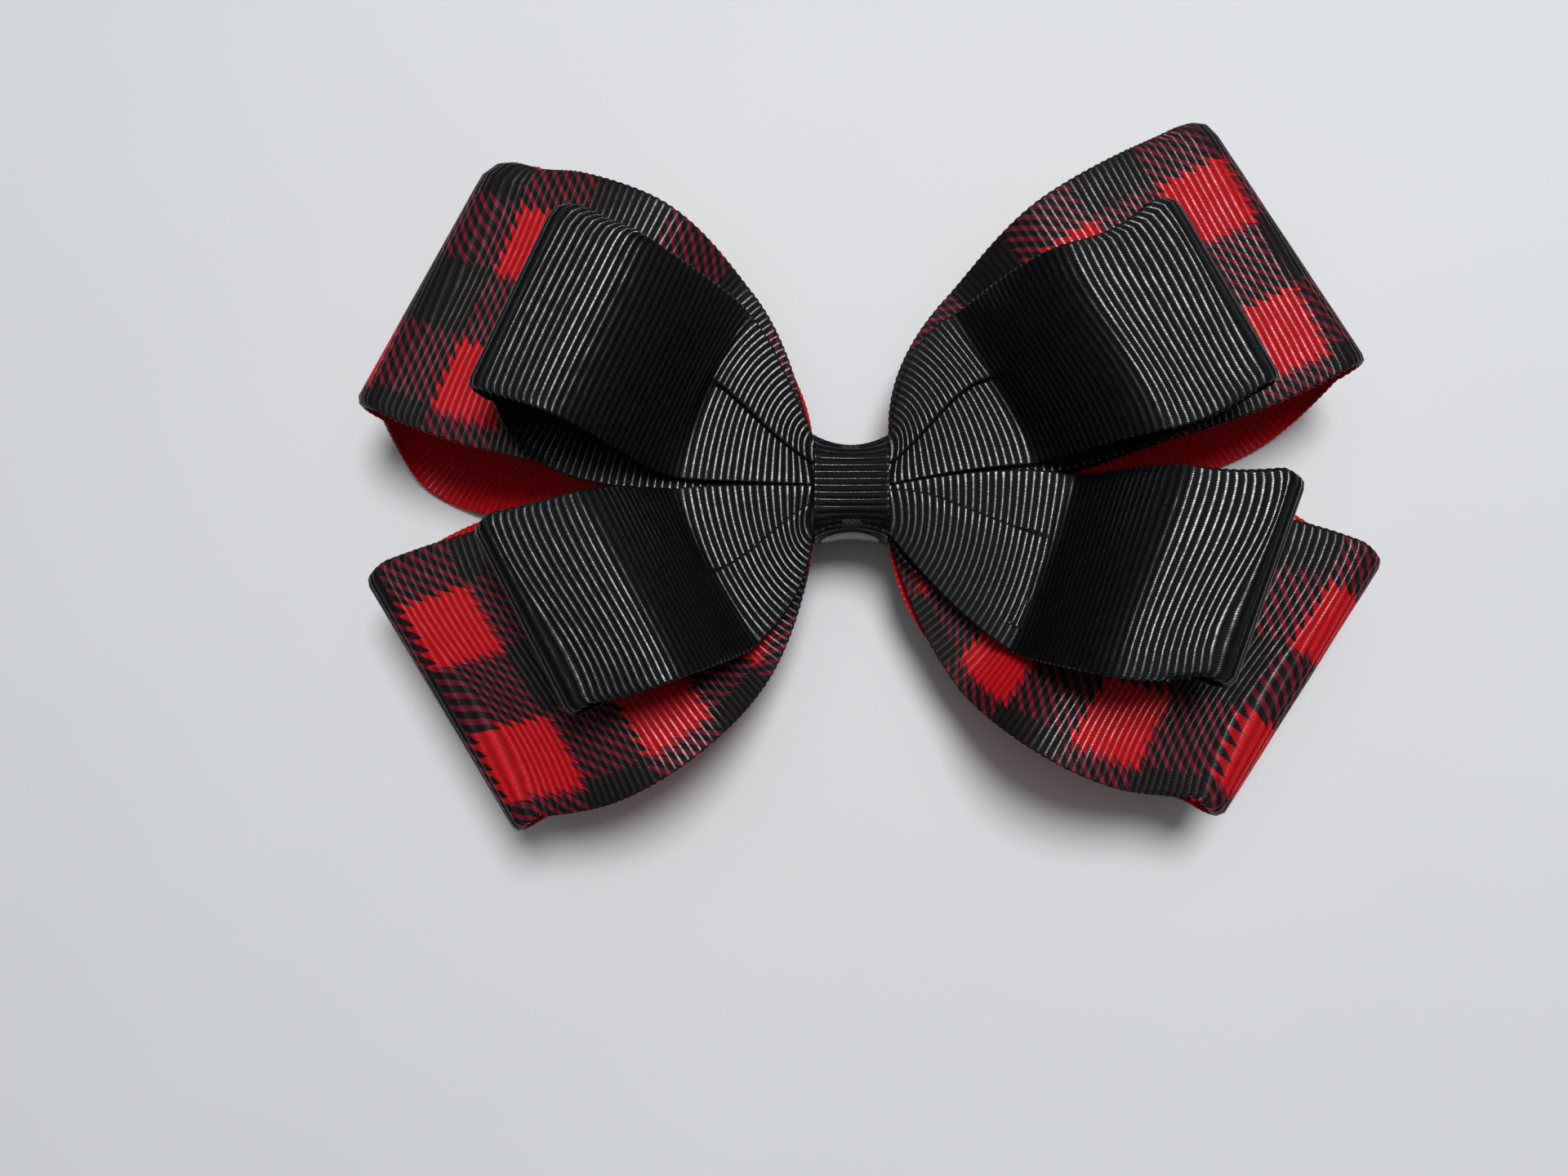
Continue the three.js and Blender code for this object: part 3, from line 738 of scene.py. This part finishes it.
def build_yarn(name):
    """Fine yarns laid over the ribs: their height, their random tone with painted shade between yarns, their
    gloss, and painted shade in the valley between ribs.
    """
    tree, n, start, end = new_group(
        name,
        [
            ("Ribbon", "NodeSocketVector", None),
            ("Yarn Pitch", "NodeSocketFloat", 0.00029),
            ("Rib Pitch", "NodeSocketFloat", 0.00095),
        ],
        [
            ("Height", "NodeSocketFloat"), ("Tone And Yarn Shade", "NodeSocketFloat"), ("Gloss", "NodeSocketFloat"),
            ("Valley", "NodeSocketFloat"), ("Glint", "NodeSocketFloat"),
        ],
    )
    parts = n.add("ShaderNodeSeparateXYZ")
    n.put(parts.inputs[0], start.outputs["Ribbon"])
    wander = n.maths("SUBTRACT", n.noise(start.outputs["Ribbon"], 380.0, 1.0), 0.5)
    u = n.maths("ADD", parts.outputs[0], n.maths("MULTIPLY", wander, 0.00022))
    rib = n.maths("DIVIDE", u, start.outputs["Rib Pitch"])
    row = n.maths("FLOOR", n.maths("ADD", rib, 0.5))
    lean = n.maths("MULTIPLY", n.maths("SUBTRACT", rib, row), 1.1)
    yarn = n.maths("ADD", n.maths("DIVIDE", parts.outputs[1], start.outputs["Yarn Pitch"]), lean)
    yarn = n.maths("ADD", yarn, n.maths("MULTIPLY", row, 0.5))
    wave = n.maths("ABSOLUTE", n.maths("SINE", n.maths("MULTIPLY", yarn, math.pi)))
    cell = n.add("ShaderNodeCombineXYZ")
    n.put(cell.inputs[0], n.maths("MULTIPLY", row, 1.7))
    n.put(cell.inputs[1], n.maths("FLOOR", yarn))
    white = n.add("ShaderNodeTexWhiteNoise", noise_dimensions="2D")
    n.put(white.inputs["Vector"], cell.outputs[0])
    patchy = n.noise(start.outputs["Ribbon"], 900.0, 3.0)
    height = n.maths("ADD", n.maths("MULTIPLY", wave, 0.8), n.maths("MULTIPLY", white.outputs["Value"], 0.2))
    n.put(end.inputs["Height"], height)
    # A random patchy tone times the yarn wave, so the colour is painted darker between the yarns as shade.
    n.put(end.inputs["Tone And Yarn Shade"], n.maths("MULTIPLY", n.ramp(patchy, 0.3, 0.7, 0.7, 1.15), wave))
    n.put(end.inputs["Gloss"], white.outputs["Value"])
    # Valley is near 1 between the ribs, where it paints shade into the colour and dulls the gloss.
    valley = n.maths("ABSOLUTE", n.maths("SINE", n.maths("MULTIPLY", rib, math.pi)))
    n.put(end.inputs["Valley"], n.ramp(valley, 0.55, 0.97))
    crown = n.maths("SUBTRACT", 1.0, n.ramp(valley, 0.25, 0.72))
    glitter = n.ramp(white.outputs["Value"], 0.0, 1.0, 0.45, 1.0)
    dots = n.maths("MULTIPLY", n.ramp(wave, 0.15, 0.65, 0.2, 1.0), glitter)
    n.put(end.inputs["Glint"], n.maths("MULTIPLY", crown, dots))
    return tree


def build_plaid(name):
    """Buffalo plaid: red, black and half-tone squares with stepped edges and slanting lines."""
    tree, n, start, end = new_group(
        name,
        [
            ("Print", "NodeSocketVector", None),
            ("Square", "NodeSocketFloat", 0.00965),
            ("Line Pitch", "NodeSocketFloat", 0.0019),
            ("Red", "NodeSocketColor", None),
            ("Maroon", "NodeSocketColor", None),
            ("Black", "NodeSocketColor", None),
        ],
        [("Color", "NodeSocketColor")],
    )
    parts = n.add("ShaderNodeSeparateXYZ")
    n.put(parts.inputs[0], start.outputs["Print"])
    u, v = parts.outputs[0], parts.outputs[1]
    line = start.outputs["Line Pitch"]
    square = start.outputs["Square"]
    slant = n.maths("PINGPONG", n.maths("DIVIDE", n.maths("ADD", u, v), line), 0.5)
    teeth = n.maths("MULTIPLY", n.maths("SUBTRACT", slant, 0.25), n.maths("MULTIPLY", line, 1.5))
    warp = n.maths("PINGPONG", n.maths("DIVIDE", n.maths("ADD", u, teeth), square), 1.0)
    weft = n.maths("PINGPONG", n.maths("DIVIDE", n.maths("SUBTRACT", v, teeth), square), 1.0)
    rag = n.maths("MULTIPLY", n.maths("SUBTRACT", n.noise(start.outputs["Print"], 2600.0), 0.5), 0.05)
    along_red = n.ramp(n.maths("ADD", warp, rag), 0.48, 0.52)
    across_red = n.ramp(n.maths("ADD", weft, rag), 0.48, 0.52)
    both = n.maths("MULTIPLY", along_red, across_red)
    either = n.maths("MAXIMUM", along_red, across_red)
    lines = n.ramp(n.maths("ADD", slant, n.maths("MULTIPLY", rag, 1.6)), 0.25, 0.31)
    half_tone = n.maths("MULTIPLY", n.maths("SUBTRACT", either, both), lines)
    fade = n.ramp(n.noise(start.outputs["Print"], 420.0), 0.25, 0.75, 0.65, 1.0)
    dark = n.mix(n.maths("MULTIPLY", half_tone, fade), start.outputs["Black"], start.outputs["Maroon"])
    n.put(end.inputs["Color"], n.mix(both, dark, start.outputs["Red"]))
    return tree


def build_fuzz(name):
    """Loose fibres and dust, as faint light flecks."""
    tree, n, start, end = new_group(
        name,
        [("Place", "NodeSocketVector", None), ("Amount", "NodeSocketFloat", 0.02)],
        [("Fleck", "NodeSocketFloat")],
    )
    spots = n.noise(start.outputs["Place"], 2300.0, 1.0)
    n.put(end.inputs["Fleck"], n.maths("MULTIPLY", n.ramp(spots, 0.70, 0.78), start.outputs["Amount"]))
    return tree


def new_material(name):
    material = bpy.data.materials.new(name)
    material.use_nodes = True
    tree = material.node_tree
    shader = tree.nodes["Principled BSDF"]
    return material, Nodes(tree), shader


def place_group(n, name, build, values):
    node = n.add("ShaderNodeGroup")
    node.node_tree = group_once(name, build)
    for key, value in values.items():
        n.put(node.inputs[key], value)
    return node


def four(colour):
    return (*colour, 1.0)


def grosgrain_material(name, colour, rough=0.40, valley=0.15, print_values=None, gloss=0.16, glint=1.0):
    """Grosgrain ribbon in one colour, or printed with plaid.

    valley is the share of the colour that is left between the ribs, as painted shade there, and glint the
    shine on their crowns.
    """
    s = ribbon_settings()
    material, n, shader = new_material(name)
    ribbon = n.add("ShaderNodeUVMap", uv_map="ribbon").outputs[0]
    yarn = place_group(n, "yarn", build_yarn, {"Ribbon": ribbon, "Rib Pitch": s.rib_pitch * MM})
    fuzz = place_group(n, "fuzz", build_fuzz, {"Place": ribbon})
    base = four(colour)
    if print_values:
        values = dict(print_values)
        values["Print"] = n.add("ShaderNodeUVMap", uv_map="print").outputs[0]
        base = place_group(n, "buffalo_plaid", build_plaid, values).outputs["Color"]
    # Painted shade between the ribs: the colour goes towards black in each rib valley, keeping the valley
    # share of it.
    dark = n.mix(valley, (0.0, 0.0, 0.0, 1.0), base)
    painted_valley_shade = n.mix(yarn.outputs["Valley"], base, dark)
    # Lighter on the yarn crowns and darker between the yarns: painted shade, with a random patchy tone over
    # it.
    tone = n.add("ShaderNodeHueSaturation")
    n.put(tone.inputs["Value"], n.ramp(yarn.outputs["Tone And Yarn Shade"], 0.0, 1.0, 0.62, 1.15))
    n.put(tone.inputs["Color"], painted_valley_shade)
    flecked = n.mix(fuzz.outputs["Fleck"], tone.outputs[0], (0.4, 0.4, 0.4, 1.0))
    n.put(shader.inputs["Base Color"], flecked)
    roughness = n.maths("ADD", rough, n.maths("MULTIPLY", yarn.outputs["Gloss"], 0.10))
    dull = n.maths("MULTIPLY", yarn.outputs["Valley"], 0.12)
    n.put(shader.inputs["Roughness"], n.maths("ADD", roughness, dull))
    shader.inputs["Specular IOR Level"].default_value = gloss
    n.put(shader.inputs["Coat Weight"], n.maths("MULTIPLY", yarn.outputs["Glint"], glint))
    shader.inputs["Coat Roughness"].default_value = 0.22
    shader.inputs["Coat IOR"].default_value = 1.7
    bump = n.add("ShaderNodeBump")
    bump.inputs["Strength"].default_value = 1.0
    bump.inputs["Distance"].default_value = 0.00005
    n.put(bump.inputs["Height"], yarn.outputs["Height"])
    n.put(shader.inputs["Normal"], bump.outputs[0])
    return material


def black_ribbon_material():
    return bpy.data.materials.get("black_grosgrain") or grosgrain_material("black_grosgrain", colours().black)


def plaid_material():
    material = bpy.data.materials.get("plaid_grosgrain")
    if material:
        return material
    c = colours()
    values = {
        "Red": four(c.red), "Maroon": four(c.maroon), "Black": four(c.print_black),
        "Square": ribbon_settings().plaid_square * MM,
    }
    return grosgrain_material("plaid_grosgrain", c.red, 0.42, 0.6, values, 0.16, 0.7)


def red_back_material():
    return bpy.data.materials.get("plain_red_grosgrain") or grosgrain_material(
        "plain_red_grosgrain", colours().red, 0.42, 0.75, glint=0.4
    )


def thread_material():
    material, n, shader = new_material("tie_thread")
    place = n.add("ShaderNodeTexCoord").outputs["Object"]
    twist = n.add("ShaderNodeTexWave", bands_direction="DIAGONAL")
    n.put(twist.inputs["Vector"], place)
    twist.inputs["Scale"].default_value = 900
    # Lighter on the twist's ridges and darker in its grooves: painted shade.
    strand_painted_shade = n.mix(twist.outputs["Fac"], (0.01, 0.01, 0.01, 1), (0.05, 0.05, 0.05, 1))
    n.put(shader.inputs["Base Color"], strand_painted_shade)
    shader.inputs["Roughness"].default_value = 0.7
    bump = n.add("ShaderNodeBump")
    bump.inputs["Distance"].default_value = 0.00005
    n.put(bump.inputs["Height"], twist.outputs["Fac"])
    n.put(shader.inputs["Normal"], bump.outputs[0])
    return material


def glue_material():
    material = bpy.data.materials.get("set_glue")
    if material:
        return material
    material, n, shader = new_material("set_glue")
    place = n.add("ShaderNodeTexCoord").outputs["Object"]
    cloud = n.noise(place, 700.0, 3.0)
    tone = n.mix(cloud, (0.16, 0.165, 0.17, 1), (0.42, 0.42, 0.42, 1))
    n.put(shader.inputs["Base Color"], tone)
    n.put(shader.inputs["Roughness"], n.ramp(cloud, 0.2, 0.8, 0.22, 0.42))
    shader.inputs["Transmission Weight"].default_value = 0.35
    shader.inputs["IOR"].default_value = 1.48
    bump = n.add("ShaderNodeBump")
    bump.inputs["Distance"].default_value = 0.0001
    n.put(bump.inputs["Height"], cloud)
    n.put(shader.inputs["Normal"], bump.outputs[0])
    return material


def steel_material(name, brushed):
    material = bpy.data.materials.get(name)
    if material:
        return material
    material, n, shader = new_material(name)
    place = n.add("ShaderNodeTexCoord").outputs["Object"]
    stretch = n.add("ShaderNodeMapping")
    stretch.inputs["Scale"].default_value = (1.0, 14.0, 14.0) if brushed else (1, 1, 1)
    n.put(stretch.inputs["Vector"], place)
    grain = n.noise(stretch.outputs[0], 500.0, 4.0)
    wear = n.noise(place, 120.0, 4.0)
    light = four(colours().steel)
    n.put(shader.inputs["Base Color"], n.mix(n.ramp(wear, 0.4, 0.7), light, (0.50, 0.50, 0.51, 1)))
    n.put(shader.inputs["Roughness"], n.ramp(grain, 0.2, 0.8, 0.16, 0.34))
    shader.inputs["Metallic"].default_value = 1.0
    bump = n.add("ShaderNodeBump")
    bump.inputs["Strength"].default_value = 0.25
    bump.inputs["Distance"].default_value = 0.00003
    n.put(bump.inputs["Height"], grain)
    n.put(shader.inputs["Normal"], bump.outputs[0])
    return material


# ---------------------------------------------------------------- operators


def make_ring(colour, part, layer, materials):
    """One length of ribbon, which stands for its two CAD loops."""
    flip = 1 if part == "upper" else -1
    surface, along, places, printed = ring_surface(layer, part, flip, flats=5 if colour == "plaid" else 6)
    name = f"{colour}_{part}_ribbon"
    piece = ribbon_piece(
        name, surface, along, places, layer.width, flip, materials, [("print", *printed)]
    )
    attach(piece, "bow")
    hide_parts(f"{colour}_{part}_left_loop", f"{colour}_{part}_right_loop")
    return piece


class HAIRBOW_OT_plaid_rings(bpy.types.Operator):
    """Make the two plaid ribbon rings"""

    bl_idname = "hair_bow.plaid_rings"
    bl_label = "Plaid Rings"

    def execute(self, context):
        for part in ("upper", "lower"):
            make_ring("plaid", part, plaid_layer(), [plaid_material(), red_back_material()])
        return {"FINISHED"}


class HAIRBOW_OT_black_rings(bpy.types.Operator):
    """Make the two black ribbon rings"""

    bl_idname = "hair_bow.black_rings"
    bl_label = "Black Rings"

    def execute(self, context):
        black = black_ribbon_material()
        for part in ("upper", "lower"):
            make_ring("black", part, black_layer(), [black, black])
        return {"FINISHED"}


def wrap_path(count):
    """The wrap's path round the waist in the YZ plane, at its middle, as evenly spaced points, and its
    length.
    """
    low = (WRAP_LOW[2]) / MM + 0.2
    high = (WRAP_HIGH[2]) / MM
    middle = low + 3.9
    angle = np.linspace(-0.5 * math.pi, 1.5 * math.pi, 720)
    c, s = np.cos(angle), np.sin(angle)
    power = np.where(s > 0, 0.66, 0.45)
    y = 5.45 * np.sign(c) * np.abs(c) ** power
    z = middle + np.where(s > 0, high - middle, middle - low) * np.sign(s) * np.abs(s) ** power
    return even_steps(np.stack([np.zeros_like(y), y, z], axis=1), count)


class HAIRBOW_OT_center_wrap(bpy.types.Operator):
    """Wind the narrow ribbon round the waist"""

    bl_idname = "hair_bow.center_wrap"
    bl_label = "Centre Wrap"

    def execute(self, context):
        s = ribbon_settings()
        _, length = wrap_path(200)
        pitch = 0.88
        ribs = int(round(length / pitch))
        points, length = wrap_path(ribs * 6 + 1)
        width = s.wrap_width
        ends = width - np.array([0.5, 0.2, 0])
        places = np.concatenate([[0, 0.2, 0.5], np.linspace(0.8, width - 0.8, 26), ends])
        forward = np.gradient(points, axis=0)
        forward[0] = forward[-1] = points[1] - points[-2]
        forward /= np.linalg.norm(forward, axis=1, keepdims=True)
        out = np.cross(forward, np.array([1.0, 0.0, 0.0]))
        out *= np.sign(np.sum(out * (points - points.mean(axis=0)), axis=1))[:, None]
        x = places - width / 2
        spread = (x / (width / 2)) ** 2
        grid = points[:, None, :] + x[None, :, None] * np.array([1.0, 0.0, 0.0])
        curl = np.abs(out[:, 1]) * 1.15 + 0.12
        grid = grid + out[:, None, :] * curl[:, None, None] * spread[None, :, None]
        along = np.linspace(0, ribs * s.rib_pitch, len(points))
        place_grid = np.broadcast_to(places, grid.shape[:2])
        black = black_ribbon_material()
        piece = ribbon_piece("center_wrap_ribbon", grid, along, place_grid, width, -1, [black, black])
        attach(piece, "bow")
        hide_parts("center_wrap")
        return {"FINISHED"}


def thread_coil(name, node, turns, radius):
    """Thread wound round the waist, side by side, as a curve made into a mesh."""
    s = ribbon_settings()
    low, high = (Vector(corner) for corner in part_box(node))
    centre = (low + high) / 2
    half = (high - low) / 2
    half.y = (s.gather + s.seam_gap / 2) * MM + 2 * radius
    centre.y = WAIST.y
    curve = bpy.data.curves.new(name, "CURVE")
    curve.dimensions = "3D"
    curve.bevel_depth = radius
    curve.bevel_resolution = 2
    steps = 28
    total = turns * steps
    spline = curve.splines.new("POLY")
    spline.points.add(total)
    for k in range(total + 1):
        angle = 2 * math.pi * k / steps
        c, s = math.cos(angle), math.sin(angle)
        y = (half.y - radius) * math.copysign(abs(c) ** 0.5, c)
        z = (half.z - radius) * math.copysign(abs(s) ** 0.5, s)
        x = (half.x - radius) * (2 * k / total - 1)
        spline.points[k].co = (centre.x + x, centre.y + y, centre.z + z, 1)
    curve.use_fill_caps = True
    source = link(bpy.data.objects.new(name + "_path", curve))
    mesh = bpy.data.meshes.new_from_object(source)
    bpy.data.objects.remove(source)
    mesh.name = name
    mesh.polygons.foreach_set("use_smooth", np.ones(len(mesh.polygons), bool))
    return link(bpy.data.objects.new(name, mesh))


class HAIRBOW_OT_thread_ties(bpy.types.Operator):
    """Wind the thread that gathers each layer"""

    bl_idname = "hair_bow.thread_ties"
    bl_label = "Thread Ties"

    def execute(self, context):
        material = thread_material()
        for node in ("plaid_thread_tie", "black_thread_tie"):
            piece = thread_coil(node.replace("tie", "winding"), node, 9, 0.00012)
            piece.data.materials.append(material)
            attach(piece, "bow")
            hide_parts(node)
        return {"FINISHED"}


def glue_blob(name, low, high, seed):
    """A dab of set glue: a box rounded off by smoothing, with an uneven skin."""
    bm = bmesh.new()
    bmesh.ops.create_cube(bm, size=1.0)
    bmesh.ops.subdivide_edges(bm, edges=bm.edges[:], cuts=9, use_grid_fill=True)
    random = np.random.default_rng(seed)
    phase = random.uniform(0, 2 * math.pi, 3)
    for vert in bm.verts:
        p = vert.co * 2
        ball = p.normalized() * max(abs(p.x), abs(p.y), abs(p.z))
        q = p.lerp(ball, 0.75)
        ripple = 0.04 * math.sin(5 * p.x + phase[0]) + 0.04 * math.sin(6 * p.y + phase[1])
        q *= 0.96 + ripple
        vert.co = q / 2
    size = Vector(high) - Vector(low)
    middle = (Vector(high) + Vector(low)) / 2
    bmesh.ops.transform(bm, matrix=Matrix.Diagonal((*size, 1)), verts=bm.verts[:])
    bmesh.ops.translate(bm, vec=middle, verts=bm.verts[:])
    bmesh.ops.recalc_face_normals(bm, faces=bm.faces[:])
    mesh = bpy.data.meshes.new(name)
    bm.to_mesh(mesh)
    bm.free()
    mesh.polygons.foreach_set("use_smooth", np.ones(len(mesh.polygons), bool))
    return link(bpy.data.objects.new(name, mesh))


class HAIRBOW_OT_glue(bpy.types.Operator):
    """Make the dabs of glue between the layers, on the clip and under the wrap's edge"""

    bl_idname = "hair_bow.glue"
    bl_label = "Glue"

    def execute(self, context):
        nodes = ("clip_glue_left", "clip_glue_right", "layer_glue_left", "layer_glue_right", "wrap_glue_bead")
        for seed, node in enumerate(nodes):
            low, high = (Vector(corner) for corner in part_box(node))
            if node == "wrap_glue_bead":
                low.y, high.y = WAIST.y - 0.0061, WAIST.y - 0.0052
                low.z, high.z = WRAP_LOW[2] + 0.0012, WRAP_LOW[2] + 0.0055
            piece = glue_blob(node + "_dab", low, high, seed)
            if node == "wrap_glue_bead":
                for vert in piece.data.vertices:
                    vert.co.y -= 0.0012 * ((vert.co.x - WAIST.x) / 0.00475) ** 2
            piece.data.materials.append(glue_material())
            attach(piece, "bow")
            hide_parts(node)
        return {"FINISHED"}


def spring_curve_mesh(name):
    """Wire coiled round the pin, with a leg under the upper arm and a leg over the lower arm."""
    low, high = (Vector(corner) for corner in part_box("clip_spring"))
    wire = 0.0003
    turns = 5
    steps = 28
    radius = 0.00135
    curve = bpy.data.curves.new(name, "CURVE")
    curve.dimensions = "3D"
    curve.bevel_depth = wire
    curve.bevel_resolution = 3
    points = []
    y0, y1 = low.y + wire, high.y - wire
    points.append(Vector((low.x + wire, y0, low.z + wire)))
    points.append(Vector((PIN_MIDDLE.x - 0.0045, y0, (low.z + wire + PIN_MIDDLE.z - radius) / 2)))
    sweep = 2 * math.pi * turns - math.pi
    count = int(sweep / (2 * math.pi) * steps)
    for k in range(count + 1):
        angle = 1.5 * math.pi + sweep * k / count
        points.append(Vector((
            PIN_MIDDLE.x + radius * math.cos(angle),
            y0 + (y1 - y0) * k / count,
            PIN_MIDDLE.z + radius * math.sin(angle),
        )))
    points.append(Vector((PIN_MIDDLE.x - 0.0045, y1, (high.z - wire + PIN_MIDDLE.z + radius) / 2)))
    points.append(Vector((low.x + wire, y1, high.z - wire)))
    spline = curve.splines.new("POLY")
    spline.points.add(len(points) - 1)
    for target, point in zip(spline.points, points):
        target.co = (*point, 1)
    curve.use_fill_caps = True
    source = link(bpy.data.objects.new(name + "_path", curve))
    mesh = bpy.data.meshes.new_from_object(source)
    bpy.data.objects.remove(source)
    mesh.name = name
    mesh.polygons.foreach_set("use_smooth", np.ones(len(mesh.polygons), bool))
    return link(bpy.data.objects.new(name, mesh))


class HAIRBOW_OT_clip(bpy.types.Operator):
    """Finish the alligator clip and coil its spring"""

    bl_idname = "hair_bow.clip"
    bl_label = "Alligator Clip"

    def execute(self, context):
        plated = steel_material("plated_steel", False)
        wire = steel_material("spring_wire", True)
        for node in ("clip_upper_arm", "clip_lower_arm", "clip_pin"):
            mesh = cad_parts[node].data
            mesh.materials.clear()
            mesh.materials.append(plated)
        spring = spring_curve_mesh("torsion_spring")
        spring.data.materials.append(wire)
        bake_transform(spring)
        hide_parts("clip_spring")
        return {"FINISHED"}


# The camera stands over the bow, a little towards its lower loops, and leans back.
CAMERA_PLACE = (-1.6, -35.5)
CAMERA_ROWS = ((0.9989, 0.0075, -0.0458), (-0.0006, 0.9887, 0.1496), (0.0465, -0.1494, 0.9877))
LENS_TO_SENSOR = 1442 / 1920


class HAIRBOW_OT_stage(bpy.types.Operator):
    """Set the floor, the light and the camera"""

    bl_idname = "hair_bow.stage"
    bl_label = "Stage"

    def execute(self, context):
        settings = context.scene.hair_bow_stage
        self.floor(settings)
        self.lights(settings)
        self.camera(settings)
        return {"FINISHED"}

    def floor(self, settings):
        bm = bmesh.new()
        bmesh.ops.create_grid(bm, x_segments=1, y_segments=1, size=2.0)
        mesh = bpy.data.meshes.new("floor")
        bm.to_mesh(mesh)
        bm.free()
        material, n, shader = new_material("floor_card")
        place = n.add("ShaderNodeTexCoord").outputs["Object"]
        cloud = n.noise(place, 18.0, 3.0)
        base = four(settings.floor_colour)
        soft = tuple(0.95 * v for v in settings.floor_colour)
        n.put(shader.inputs["Base Color"], n.mix(cloud, base, four(soft)))
        shader.inputs["Roughness"].default_value = 0.75
        mesh.materials.append(material)
        link(bpy.data.objects.new("floor", mesh))

    def lights(self, settings):
        aims = (
            ("ceiling_panel", (0.0, 0.16, 0.90), 1.3, settings.panel_power, (0.97, 0.98, 1.0)),
            ("key", (0.10, 0.20, 0.70), 0.30, settings.key_power, (0.97, 0.985, 1.0)),
        )
        for name, place, size, power, colour in aims:
            lamp = bpy.data.lights.new(name, "AREA")
            lamp.shape = "DISK"
            lamp.size = size
            lamp.energy = power
            lamp.color = colour
            obj = link(bpy.data.objects.new(name, lamp))
            obj.location = place
            obj.rotation_euler = (Vector(place) - Vector((0, 0, 0.01))).to_track_quat("Z", "Y").to_euler()
        world = bpy.data.worlds.new("room")
        world.use_nodes = True
        back = world.node_tree.nodes["Background"]
        back.inputs["Color"].default_value = (0.93, 0.96, 1.0, 1)
        back.inputs["Strength"].default_value = settings.fill_strength
        bpy.context.scene.world = world
        bpy.context.scene.view_settings.view_transform = "Standard"

    def camera(self, settings):
        data = bpy.data.cameras.new("camera")
        data.sensor_width = 36.0
        data.lens = data.sensor_width * LENS_TO_SENSOR
        data.clip_start = 0.01
        obj = link(bpy.data.objects.new("camera", data))
        turn = Matrix(CAMERA_ROWS).transposed().to_4x4()
        place = WAIST + Vector((CAMERA_PLACE[0] * MM, CAMERA_PLACE[1] * MM, settings.camera_height))
        obj.matrix_world = Matrix.Translation(place) @ turn
        bpy.context.scene.camera = obj


class HAIRBOW_PT_panel(bpy.types.Panel):
    """The bow's sizes, colours and pieces"""

    bl_idname = "HAIRBOW_PT_panel"
    bl_label = "Hair Bow"
    bl_space_type = "VIEW_3D"
    bl_region_type = "UI"
    bl_category = "Hair Bow"

    def draw(self, context):
        scene = context.scene
        for group in (scene.hair_bow_ribbon, scene.hair_bow_colours, scene.hair_bow_stage):
            box = self.layout.box()
            for name in group.__annotations__:
                box.prop(group, name)
        for operator in PIECE_OPERATORS:
            self.layout.operator(operator.bl_idname)


SETTINGS = (HairBowRibbonSettings, HairBowColourSettings, HairBowStageSettings)
PIECE_OPERATORS = (
    HAIRBOW_OT_plaid_rings,
    HAIRBOW_OT_black_rings,
    HAIRBOW_OT_center_wrap,
    HAIRBOW_OT_thread_ties,
    HAIRBOW_OT_glue,
    HAIRBOW_OT_clip,
    HAIRBOW_OT_stage,
)


def register():
    for cls in (*SETTINGS, *PIECE_OPERATORS, HAIRBOW_PT_panel):
        bpy.utils.register_class(cls)
    bpy.types.Scene.hair_bow_ribbon = PointerProperty(type=HairBowRibbonSettings)
    bpy.types.Scene.hair_bow_colours = PointerProperty(type=HairBowColourSettings)
    bpy.types.Scene.hair_bow_stage = PointerProperty(type=HairBowStageSettings)


def unregister():
    del bpy.types.Scene.hair_bow_ribbon
    del bpy.types.Scene.hair_bow_colours
    del bpy.types.Scene.hair_bow_stage
    for cls in reversed((*SETTINGS, *PIECE_OPERATORS, HAIRBOW_PT_panel)):
        bpy.utils.unregister_class(cls)


def main():
    register()
    bpy.ops.hair_bow.stage()
    bpy.ops.hair_bow.plaid_rings()
    bpy.ops.hair_bow.black_rings()
    bpy.ops.hair_bow.center_wrap()
    bpy.ops.hair_bow.thread_ties()
    bpy.ops.hair_bow.glue()
    bpy.ops.hair_bow.clip()


if __name__ == "__main__":
    main()
